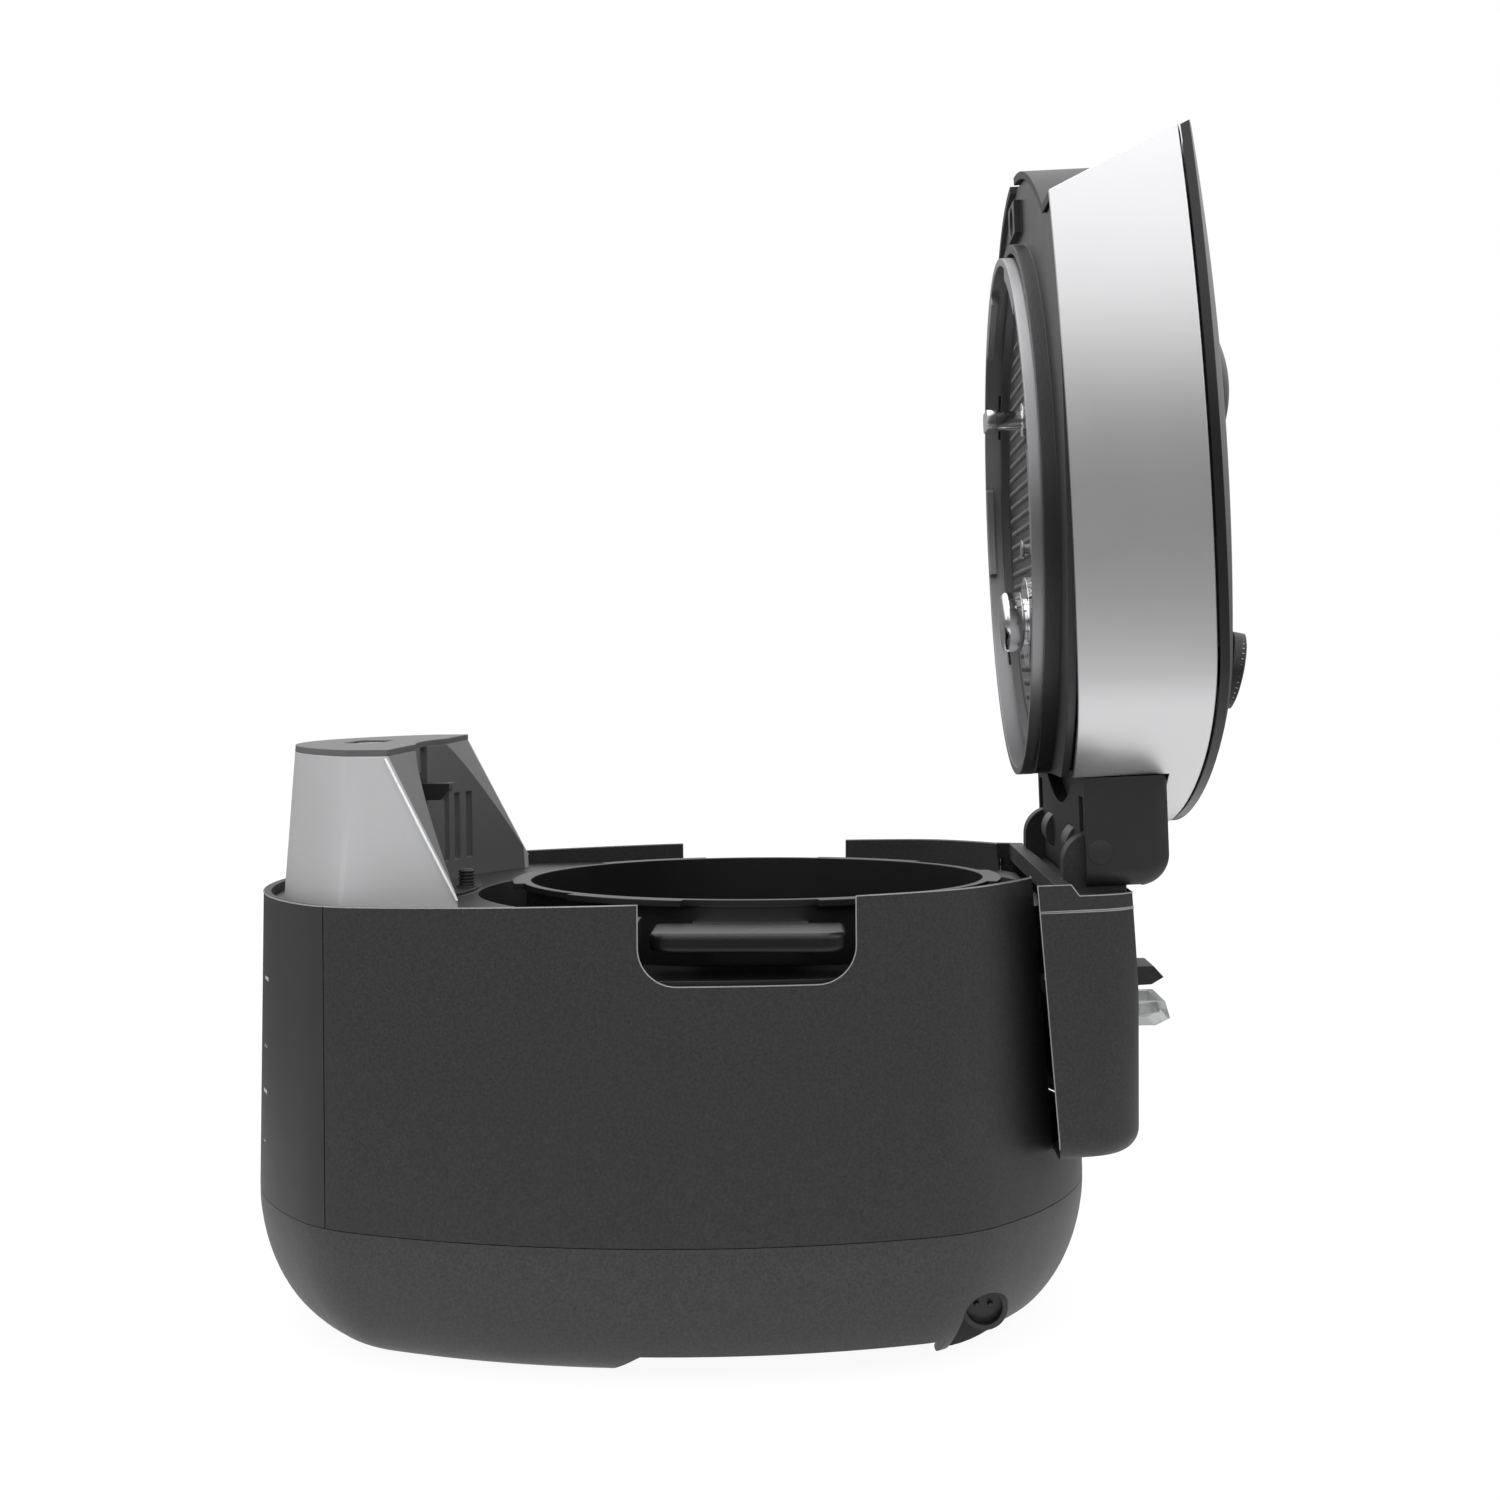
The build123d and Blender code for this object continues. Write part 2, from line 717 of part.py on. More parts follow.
def dew_collector():
    body = block(-collector_half_width, collector_half_width, collector_front_y, housing_rear_y + 2,
                 collector_low, collector_high)
    body = fillet(body.edges().filter_by(Axis.Z), 4.0)
    room = block(-collector_half_width + collector_wall, collector_half_width - collector_wall,
                 collector_front_y + collector_wall, housing_rear_y + 2 - collector_wall,
                 collector_low + collector_wall, collector_high + 1)
    room = fillet(room.edges().filter_by(Axis.Z), 2.5)
    lip_low = collector_high - 10
    lip = side_profile([(housing_rear_y + 1, lip_low), (collector_lip_y - 6, lip_low),
                        (collector_lip_y, collector_high - 7), (collector_lip_y - 2, collector_high),
                        (housing_rear_y + 1, collector_high)], collector_lip_half_width)
    dip = side_profile([(housing_rear_y + 4, lip_low + 3), (collector_lip_y - 4, collector_high - 5),
                        (collector_lip_y - 5, collector_high + 1), (housing_rear_y + 4, collector_high + 1)],
                       collector_lip_half_width - 3)
    return body - room + (lip - dip)


def hinge_shaft():
    end = ear_outer_x - ear_blind - joint_gap
    return cross_pin(shaft_radius, -end, end, hinge_y, hinge_z)


# Inner pot with its flange lugs and side grips

def inner_pot():
    flange_low = flange_top - flange_thickness
    rim = [(pot_radius, flange_low), (lug_radius, flange_low), (lug_radius, flange_top),
           (pot_radius - pot_wall, flange_top)]
    pot = vessel(pot_radius, pot_corner, pot_wall, pot_bottom, 0, rim)
    gap_angle = 360 / lug_count - lug_angle
    gap_ring = tube(lug_radius + 5, flange_radius, flange_low - 1, flange_top + 1)
    for index in range(lug_count):
        pot -= gap_ring & sector(360 / lug_count * index, gap_angle)
    return pot


def sector(middle, angle):
    """A tall wedge about the pot's axis."""
    reach = 200
    first, last = math.radians(middle - angle / 2), math.radians(middle + angle / 2)
    corners = [(0, 0), (reach * math.cos(first), reach * math.sin(first)),
               (reach * math.cos(last), reach * math.sin(last))]
    return extrude(make_face(Polyline(corners, close=True)), 400)


def pot_grips():
    grip = block(grip_inner_x, grip_outer_x, -grip_half_width, grip_half_width, grip_low, grip_high)
    grip = fillet(grip.edges().filter_by(Axis.Z).group_by(Axis.X)[-1], grip_corner)
    grip = fillet(grip.edges().filter_by(lambda edge: edge.center().X > grip_inner_x + 1), grip_round)
    return both_sides(grip - block(grip_inner_x + 3, grip_outer_x - 6, -grip_half_width + 6,
                                   grip_half_width - 6, grip_low - 1, grip_low + 2))


def grip_brackets():
    mount = block(pot_radius - 4, grip_inner_x, -bracket_half_width, bracket_half_width,
                  grip_low + 1, grip_high - 1)
    return both_sides(mount - drum(pot_radius + contact_gap, 0, through))


# Heat liner, coil, ferrites and the bottom temperature sensor

def heat_liner():
    radius = pot_radius + liner_gap + liner_wall
    high = liner_top - joint_gap
    rim = [(radius, high - liner_wall), (liner_flange_radius, high - liner_wall),
           (liner_flange_radius, high), (radius - liner_wall, high)]
    return vessel(radius, pot_corner + liner_gap + liner_wall, liner_wall, liner_bottom,
                  sensor_radius + 2, rim)


def pot_cushions():
    low = liner_bottom + liner_wall
    return Compound(children=[drum(cushion_radius, low, pot_bottom - joint_gap, x, y)
                              for x, y in round_places(cushion_circle, (30, 150, 270))])


def coil_carrier():
    plate = tube(coil_outer + 4, sensor_radius + 2.5, carrier_low, coil_low)
    rim = tube(coil_outer + 4, coil_outer + 2, coil_low, liner_bottom + 1)
    slots = [Rot(0, 0, a) * block(coil_inner + 8, coil_outer - 8, -4, 4, 0, through) for a in range(22, 382, 45)]
    for slot in slots:
        plate -= slot
    rim &= drum(coil_outer + 5, 0, liner_bottom - joint_gap)
    return plate + rim


def induction_coil():
    low, high = coil_low + contact_gap, coil_low + coil_thickness
    coil = block(coil_inner + 6, coil_outer - 2, -2.5, 2.5, low, coil_low + 2)
    for turn in range(coil_turns):
        outer = coil_outer - coil_pitch * turn
        coil = coil + tube(outer, outer - coil_strand, low, high)
    return coil


def ferrite_bars():
    bar = block(coil_inner, coil_outer - 8, -ferrite_half_width, ferrite_half_width,
                ferrite_low, carrier_low - contact_gap)
    return Compound(children=[Rot(0, 0, a) * bar for a in range(0, 360, 60)])


def sensor_plunger():
    head = drum(sensor_radius, sensor_high - sensor_cap, sensor_high)
    skirt = tube(sensor_radius, sensor_radius - 1.5, sensor_high - 8, sensor_high - 2)
    return fillet((head + skirt).edges().group_by(Axis.Z)[-1], 1.0)


def sensor_spring():
    return coil_spring(8.0, 0.7, ferrite_low, sensor_high - sensor_cap - joint_gap, 4, 0, 0)


def sensor_seat():
    low, high = arch_height + casing_wall + contact_gap, ferrite_low - joint_gap
    return drum(coil_inner - 3, low, high) + tube(5.5, 3.5, high - 0.1, ferrite_low + 5)


def coil_spring(radius, wire, low, high, turns, x, y):
    """A round wire wound upwards, ends inside its free length."""
    height = high - low - 2 * wire
    path = Pos(x, y, low + wire) * Helix(pitch=height / turns, height=height, radius=radius)
    start = path.position_at(0)
    profile = Plane(origin=start, z_dir=path.tangent_at(0)) * Circle(wire)
    return sweep(profile, path, is_frenet=True)


# Cooling fan, boards, heat sink and power inlet

def fan_frame():
    half = fan_size / 2
    body = block(-half, half, fan_y - half, fan_y + half, fan_low, fan_low + fan_depth)
    body = fillet(body.edges().filter_by(Axis.Z), 4.0)
    body -= drum(half - 1.5, 0, through, 0, fan_y)
    for a in (30, 150, 270):
        body += Pos(0, fan_y, 0) * Rot(0, 0, a) * block(0, half - 1, -1.5, 1.5, fan_low, fan_low + 2)
    body += drum(fan_hub_radius, fan_low, fan_low + 2.5, 0, fan_y)
    return body + drum(fan_pin_radius, fan_low, fan_low + fan_depth - 3, 0, fan_y)


def fan_rotor():
    low, high = fan_low + 2.5 + joint_gap, fan_low + fan_depth
    rotor = drum(fan_hub_radius + 0.5, low, high - 0.5, 0, fan_y)
    rotor -= drum(fan_pin_radius + shaft_fit, low - 1, high - 2.5, 0, fan_y)
    blade = Rot(35, 0, 0) * Box(fan_size / 2 - 11, 9, 1.2)
    middle = (fan_size / 2 + 5) / 2
    for index in range(fan_blades):
        rotor += Pos(0, fan_y, low + 5.2) * Rot(0, 0, 360 / fan_blades * index) * Pos(middle, 0, 0) * blade
    return rotor


def power_board():
    return block(-board_half_width, board_half_width, fan_y - board_front, fan_y + board_rear,
                 board_z, board_z + board_thickness)


def heat_sink():
    low = board_z + board_thickness
    front, rear = fan_y - sink_front, fan_y + sink_rear
    sink = block(sink_x, sink_x + (fin_count - 1) * fin_pitch + 2, front, rear, low, low + 3)
    for index in range(fin_count):
        x = sink_x + index * fin_pitch
        sink += block(x, x + 2, front, rear, low + 3, low + 16)
    return sink


def board_parts():
    low = board_z + board_thickness
    parts = [block(-60, -36, fan_y - 24, fan_y - 4, low, low + 18),
             block(-58, -30, fan_y + 2, fan_y + 16, low, low + 12)]
    parts += [drum(6, low, low + 22, x, fan_y - 18) for x in (-22, -8)]
    return Compound(children=parts)


def control_board():
    return block(-control_half_width, control_half_width, control_y, control_y + board_thickness,
                 board_low, board_high)


def power_inlet():
    back, front = inlet_face_x, inlet_face_x + inlet_depth
    body = cross_pin(inlet_radius - contact_gap, back, front, inlet_y, inlet_z)
    body -= cross_pin(inlet_radius - 2, back + 3, front + 1, inlet_y, inlet_z)
    for side in (-inlet_pin_pitch / 2, inlet_pin_pitch / 2):
        body += cross_pin(1.0, back + 2, front - 2, inlet_y + side, inlet_z)
    return body


# Lid, drawn closed and then swung open about the hinge

def crown_solid():
    """Everything under the lid's crowned top: a side-to-side arc swept from rear to front."""
    reach = half_width + 15
    fall = crown_side_radius - math.sqrt(crown_side_radius ** 2 - reach ** 2)
    centre_z = lid_crown - crown_mid_radius
    rear_turn = math.degrees(math.asin((crown_rear_y - lid_crown_y) / crown_mid_radius))
    front_turn = math.degrees(math.asin((lid_crown_y + front_reach + 20) / crown_mid_radius))
    middle = Plane.YZ * CenterArc((lid_crown_y, centre_z), crown_mid_radius, 90 - rear_turn,
                                  rear_turn + front_turn)
    rear_centre = along(lid_crown_y, centre_z, crown_mid_radius - crown_rear_radius, 90 - rear_turn)
    rear = Plane.YZ * CenterArc(rear_centre, crown_rear_radius, 90 - rear_turn - crown_tail_angle,
                                crown_tail_angle)
    path = Wire([rear, middle])
    plane = Plane(origin=path.position_at(0), x_dir=(1, 0, 0), z_dir=path.tangent_at(0))
    up = 1 if plane.y_dir.Z > 0 else -1
    section = make_face([
        ThreePointArc((-reach, -up * fall), (0, 0), (reach, -up * fall)),
        Polyline((reach, -up * fall), (reach, -up * lid_depth), (-reach, -up * lid_depth),
                 (-reach, -up * fall)),
    ])
    return sweep(plane * section, path)


def rim_line(y):
    """The height of the casing's rim at a distance from the front."""
    return rim_height + rim_slope * y


def above_rim(gap):
    """Everything higher than the sloping rim by at least a gap."""
    reach = front_reach + rear_reach
    return side_profile([(-reach, rim_line(-reach) + gap), (reach, rim_line(reach) + gap),
                         (reach, through), (-reach, through)], reach)


def along(y, z, distance, degrees):
    """A point at a distance from (y, z) in a direction in the YZ plane."""
    turn = math.radians(degrees)
    return (y + distance * math.cos(turn), z + distance * math.sin(turn))


def lid_prism(inset, front_inset, low):
    """The lid's drafted outline, cut in front to clear the tower and bulging into its recess."""
    body = drafted(plan, lid_inset + inset, low, low + 90, lid_draft)
    slope = (slant_high_y - slant_low_y) / (tower_top - slant_low_z)
    shift = lid_front_gap * 1.4 + front_inset / math.cos(math.atan(slope))
    high = low + 90
    start_y = slant_low_y + slope * (low - slant_low_z) + shift
    end_y = slant_low_y + slope * (high - slant_low_z) + shift
    behind = side_profile([(start_y, low - 1), (rear_reach * 2, low - 1), (rear_reach * 2, high + 1),
                           (end_y, high + 1)], half_width)
    return body & (behind + recess_drum(tower_back_radius - lid_front_gap - front_inset))


def hinge_notch(gap):
    """The space in the lid's rear that the hinge block fills."""
    half = block_half_width + gap
    return block(-half, half, block_front_y - gap, rear_reach * 2, lid_low - 5, block_high + gap)


def lid_band(crown):
    outer = lid_prism(0, 0, lid_low) & (Pos(0, 0, -panel_thickness - panel_shadow) * crown)
    inner = lid_prism(band_wall, -20, lid_low - 1)
    return (outer - inner - hinge_notch(joint_gap)) & above_rim(lid_gap)


def lid_front(crown):
    outer = lid_prism(band_wall + joint_gap, 0, lid_low) & above_rim(lid_gap)
    outer &= Pos(0, 0, -panel_thickness - panel_shadow) * crown
    half = hook_half_width + 2.5
    latch_pocket = block(-half, half, -front_reach, hook_tip_y + 2.5, 0, hook_z + hook_height / 2 + 4)
    return outer - lid_prism(0, band_wall, lid_low - 1) - latch_pocket


def lid_top_panel(crown):
    panel = (lid_prism(panel_margin, panel_margin, lid_low) & crown) - Pos(0, 0, -panel_thickness) * crown
    return panel - drum(steam_hole_radius, 0, through, 0, knob_y)


def before_block(reach):
    """The lid's room in front of its hinge block."""
    return block(-half_width, half_width, -front_reach, block_front_y - 2 * joint_gap, 0, reach)


def lid_cover():
    plate = lid_prism(band_wall + joint_gap, band_wall + joint_gap, cover_low)
    plate &= block(-half_width, half_width, -front_reach, rear_reach, cover_low, cover_low + cover_thickness)
    plate -= hinge_notch(joint_gap)
    bore = ring_radius + ring_play
    wall = tube(bore + cover_wall, bore, cover_low, ring_high + joint_gap)
    guard = tube(guard_radius, guard_radius - cover_wall, guard_low, cover_low)
    plate = plate - drum(bore, 0, through) + ((wall + guard) & before_block(through))
    strike = block(-strike_half_width, strike_half_width, post_y - 7, post_y + 6.5, cover_low - 3,
                   cover_low + cover_thickness)
    return plate + (strike - drum(bore, 0, through)) - drum(strike_bore, 0, through, 0, post_y)


def lid_carrier():
    low = ring_high + joint_gap
    disc = drum(opening_radius + carrier_disc, low, low + 2) & before_block(through)
    for x, y in round_places(carrier_circle, carrier_screw_angles):
        disc += drum(5, low + 2, low + 2 + carrier_boss, x, y)
        disc -= drum(screw_shank_radius + 0.1, 0, through, x, y)
    disc -= drum(duct_radius + 0.3, 0, through, 0, knob_y)
    return disc - drum(pin_radius + 1.5, 0, through, pin_x, pin_y)


def carrier_screws():
    low = ring_high + joint_gap + 2 + carrier_boss
    screws = []
    for x, y in round_places(carrier_circle, carrier_screw_angles):
        screws.append(drum(screw_head_radius, low, low + 2, x, y)
                      + drum(screw_shank_radius, low - 4.9, low + 1, x, y))
    return Compound(children=screws)


def lock_ring():
    inner = ring_radius - ring_wall
    ring = tube(ring_radius, inner, ring_low, ring_high)
    ring += tube(ring_radius, gasket_radius + 0.5, ring_high - 2.5, ring_high)
    claws = tube(inner + 1, claw_radius, ring_low, ring_low + claw_thickness)
    slot = tube(ring_radius + 1, inner - 1, ring_low + 6, ring_high - 7)
    for index in range(lug_count):
        middle = 360 / lug_count * index
        clear_of_hinge = abs((middle - 90 + 180) % 360 - 180) > 45
        if clear_of_hinge:
            ring += claws & sector(middle, claw_angle)
        ring -= slot & sector(middle + 180 / lug_count, window_angle)
    return ring


def pot_gasket():
    low, high = flange_top + seat_gap, plate_low + plate_thickness + gasket_height
    inner = plate_radius + 0.1
    return spun([(inner, low + gasket_height), (pot_radius - 2, low + gasket_height), (pot_radius - 1, low),
                 (gasket_radius - 1.5, low), (gasket_radius, low + 2), (gasket_radius, high), (inner, high)])


def inner_plate():
    plate = drum(plate_radius, plate_low, plate_low + plate_thickness)
    plate += tube(plate_radius, plate_radius - 1.2, plate_low, plate_low + 4)
    plate -= drum(pin_radius + shaft_fit, 0, through, pin_x, pin_y)
    return plate - drum(duct_radius - 3, 0, through, 0, knob_y)


def lid_liner():
    """The moulded seat that carries the gasket and the inner plate."""
    low = plate_low + plate_thickness + gasket_height + 0.1
    seat = drum(gasket_radius, low, ring_high)
    seat -= tube(gasket_radius - 6, 20, low + 2.5, ring_high + 1)
    seat -= drum(pin_radius + 1.5, 0, through, pin_x, pin_y)
    return seat - drum(duct_radius + shaft_fit, 0, through, 0, knob_y)


def plate_stem():
    stem = drum(stem_radius, stem_low, plate_low, 0, stem_y)
    bar = block(-stem_bar_reach, stem_bar_reach, stem_y - stem_radius, stem_y + stem_radius,
                stem_low, stem_low + 4)
    bar = fillet(bar.edges().filter_by(Axis.Z), 3.0)
    return stem + bar + drum(stem_radius + 3, plate_low - 1.5, plate_low, 0, stem_y)


def safety_valve():
    body = drum(valve_radius, valve_low, valve_low + 8, 0, valve_y)
    body = fillet(body.edges().group_by(Axis.Z)[0], 2.5)
    base = drum(valve_radius + 6, plate_low - 3, plate_low, 0, valve_y)
    return body + base + drum(valve_radius - 3, valve_low + 8, plate_low - 3, 0, valve_y)


def float_pin():
    return drum(pin_radius, plate_low - 5, ring_high + 8, pin_x, pin_y) + drum(
        pin_radius + 1.6, plate_low - 6, plate_low - 5, pin_x, pin_y)


def knob_frame():
    """The knob's own place: its axis leans to the rear on the panel."""
    return Pos(0, knob_y, lid_crown - knob_sink) * Rot(-knob_tilt, 0, 0)


def rising(shape_radius, low, high):
    """An upright cylinder in the knob's own place."""
    return Pos(0, 0, low) * Cylinder(shape_radius, high - low,
                                     align=(Align.CENTER, Align.CENTER, Align.MIN))


def knob_base(crown):
    flange = Pos(0, 0, -6) * Cone(knob_radius + 7, knob_radius + 3, 11,
                                  align=(Align.CENTER, Align.CENTER, Align.MIN))
    return knob_frame() * (flange - Cylinder(knob_neck_radius, 40)) - Pos(0, 0, contact_gap) * crown


def steam_knob():
    cap = rising(knob_radius - 2, 5.3, 12.3)
    cap = fillet(cap.edges().group_by(Axis.Z)[-1], 1.5)
    return knob_frame() * (rising(knob_neck_radius - shaft_fit, 0, 11) + cap)


def knob_ring():
    ring = rising(knob_radius, 6.5, 11.5) - rising(knob_radius - 2 + contact_gap, 6.5, 11.5)
    return knob_frame() * ring


def pressure_dome(crown):
    """A shallow lens that stands on the panel."""
    top = lid_crown + dome_height
    lens = Pos(0, dome_y, top - dome_sphere_radius) * Sphere(dome_sphere_radius)
    lens &= block(-half_width, half_width, -front_reach, rear_reach, top - 2 * dome_height, top)
    return lens - Pos(0, 0, contact_gap) * crown


def steam_duct():
    low = plate_low + plate_thickness + joint_gap
    return tube(duct_radius, duct_radius - 2, low, lid_crown - 6, 0, knob_y)


def lock_solenoid():
    low = ring_high + joint_gap + 2
    body = block(-40, -18, -30, -4, low + contact_gap, low + 18)
    body += cross_pin(3, -48, -38, -17, low + 9)
    return body


def lid_hinge_block():
    body = block(-block_half_width, block_half_width, block_front_y, block_rear_y, block_low, block_high)
    body = fillet(body.edges().filter_by(Axis.X).group_by(Axis.Y)[-1].group_by(Axis.Z)[-1], block_corner)
    body = fillet(body.edges().filter_by(Axis.Z).group_by(Axis.Y)[-1], block_edge)
    body -= both_sides(cross_pin(ear_sweep, block_bore_end, ear_outer_x + 1, hinge_y, hinge_z))
    body -= cross_pin(shaft_radius + shaft_fit, -block_half_width - 1, block_half_width + 1, hinge_y, hinge_z)
    for x in spring_places:
        body -= cross_pin(spring_room, x, x + spring_length, hinge_y, hinge_z)
    return body - drum(opening_radius + carrier_disc + joint_gap, 0, ring_high + 2 + 2 * joint_gap)


def hinge_springs():
    coils = []
    for x in spring_places:
        coils.append(cross_pin(spring_room - joint_gap, x + joint_gap, x + spring_length - joint_gap,
                               hinge_y, hinge_z)
                     - cross_pin(shaft_radius + 2, x, x + spring_length, hinge_y, hinge_z))
    return Compound(children=coils)


def open_lid(shape):
    """Swing a piece of the closed lid to its open place."""
    return Pos(0, hinge_y, hinge_z) * Rot(-open_angle, 0, 0) * Pos(0, -hinge_y, -hinge_z) * shape


def keep(name, shape):
    pieces[name] = shape


wall = casing_wall_solid()
crown = crown_solid()
shell = rear_shell()

keep("casing_screws", casing_screws())
keep("base_bowl", base_bowl())
keep("feet", feet())
keep("side_casing", side_casing(wall))
keep("front_panel", front_panel(wall))
keep("upper_frame", upper_frame())
keep("tower_skin", tower_skin())
keep("tower_liner", tower_liner())
keep("tower_cap", tower_cap())
keep("open_button", open_button())
keep("button_spring", button_spring())
keep("latch_hook", latch_hook())
keep("latch_spring", latch_spring())
keep("interlock_post", interlock_post())
keep("rear_housing", rear_housing(shell))
keep("hinge_cover", hinge_cover(shell))
keep("dew_collector", dew_collector())
keep("hinge_shaft", hinge_shaft())
keep("inner_pot", inner_pot())
keep("pot_grips", pot_grips())
keep("grip_brackets", grip_brackets())
keep("heat_liner", heat_liner())
keep("pot_cushions", pot_cushions())
keep("coil_carrier", coil_carrier())
keep("induction_coil", induction_coil())
keep("ferrite_bars", ferrite_bars())
keep("sensor_plunger", sensor_plunger())
keep("sensor_spring", sensor_spring())
keep("sensor_seat", sensor_seat())
keep("fan_frame", fan_frame())
keep("fan_rotor", fan_rotor())
keep("power_board", power_board())
keep("heat_sink", heat_sink())
keep("board_parts", board_parts())
keep("control_board", control_board())
keep("power_inlet", power_inlet())

lid_pieces = {
    "lid_band": lid_band(crown),
    "lid_front": lid_front(crown),
    "lid_top_panel": lid_top_panel(crown),
    "lid_cover": lid_cover(),
    "lid_carrier": lid_carrier(),
    "carrier_screws": carrier_screws(),
    "lock_ring": lock_ring(),
    "pot_gasket": pot_gasket(),
    "inner_plate": inner_plate(),
    "lid_liner": lid_liner(),
    "plate_stem": plate_stem(),
    "safety_valve": safety_valve(),
    "float_pin": float_pin(),
    "knob_base": knob_base(crown),
    "steam_knob": steam_knob(),
    "knob_ring": knob_ring(),
    "pressure_dome": pressure_dome(crown),
    "steam_duct": steam_duct(),
    "lock_solenoid": lock_solenoid(),
    "lid_hinge_block": lid_hinge_block(),
    "hinge_springs": hinge_springs(),
}
for name, shape in lid_pieces.items():
    keep(name, open_lid(shape))

os.makedirs("parts", exist_ok=True)
for name, shape in pieces.items():
    export_step(shape, f"parts/{name}.step")
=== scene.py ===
"""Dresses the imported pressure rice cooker: finishes, small fittings, studio and camera."""

import logging
import math
from dataclasses import dataclass, field
from enum import Enum

import bmesh
import bpy
from mathutils import Matrix, Vector
from mathutils.bvhtree import BVHTree


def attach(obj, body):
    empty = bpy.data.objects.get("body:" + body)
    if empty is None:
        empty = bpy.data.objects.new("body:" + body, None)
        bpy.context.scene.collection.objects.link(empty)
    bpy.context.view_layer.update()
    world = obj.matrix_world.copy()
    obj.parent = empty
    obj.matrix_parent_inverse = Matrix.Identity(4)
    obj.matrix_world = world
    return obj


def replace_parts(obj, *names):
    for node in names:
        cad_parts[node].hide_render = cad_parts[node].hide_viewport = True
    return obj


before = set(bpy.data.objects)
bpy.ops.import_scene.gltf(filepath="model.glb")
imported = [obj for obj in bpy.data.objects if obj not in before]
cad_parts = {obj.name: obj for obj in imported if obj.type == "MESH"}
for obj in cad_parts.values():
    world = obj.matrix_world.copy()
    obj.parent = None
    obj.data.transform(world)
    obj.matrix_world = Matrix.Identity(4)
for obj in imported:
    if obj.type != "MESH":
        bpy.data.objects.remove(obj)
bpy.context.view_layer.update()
LOG = logging.getLogger("cooker")

Point = tuple[float, float, float]
Pairs = tuple[tuple[float, float], ...]

MM = 0.001
HINGE_Y = 0.1335
HINGE_Z = 0.1918
OPEN_ANGLE = math.radians(-88.0)

# Values that all finishes share
COAT_ROUGHNESS = 0.04
CLOUD_DETAIL = 4.0
CLOUD_BAND = (0.3, 0.7)
SMEAR_SCALE = 60.0
SMEAR_DETAIL = 3.0
SMEAR_SHARE = 0.08
LOWEST_ROUGHNESS = 0.02
GRAIN_DETAIL = 2.0
GRAIN_HEIGHT = 0.2 * MM
EDGE_SAMPLES = 4
SPECKLE = 900.0

# How meshes are welded and shaded
CAD_WELD = 0.004 * MM
PIECE_WELD = 0.001 * MM
CAD_SHARP_ANGLE = math.radians(24.0)
PIECE_SHARP_ANGLE = math.radians(35.0)


class Body(str, Enum):
    """The bodies that pieces ride on."""

    BASE = "base"
    LID = "lid"
    POT = "pot"
    KNOB = "steam_knob"


class Grain(Enum):
    """How a moulded surface is textured."""

    NONE = 0.0
    FINE = 2600.0
    MEDIUM = 1500.0
    COARSE = 800.0


def noise(tree: bpy.types.NodeTree, place: bpy.types.NodeSocket, scale: float,
          detail: float) -> bpy.types.NodeSocket:
    """Add a noise texture.

    Args:
        tree: The material's node tree.
        place: The coordinates it reads.
        scale: Its scale.
        detail: Its octaves.

    Returns:
        The socket of its value.
    """
    texture = tree.nodes.new("ShaderNodeTexNoise")
    texture.inputs["Scale"].default_value = scale
    texture.inputs["Detail"].default_value = detail
    tree.links.new(place, texture.inputs["Vector"])
    return texture.outputs["Fac"]


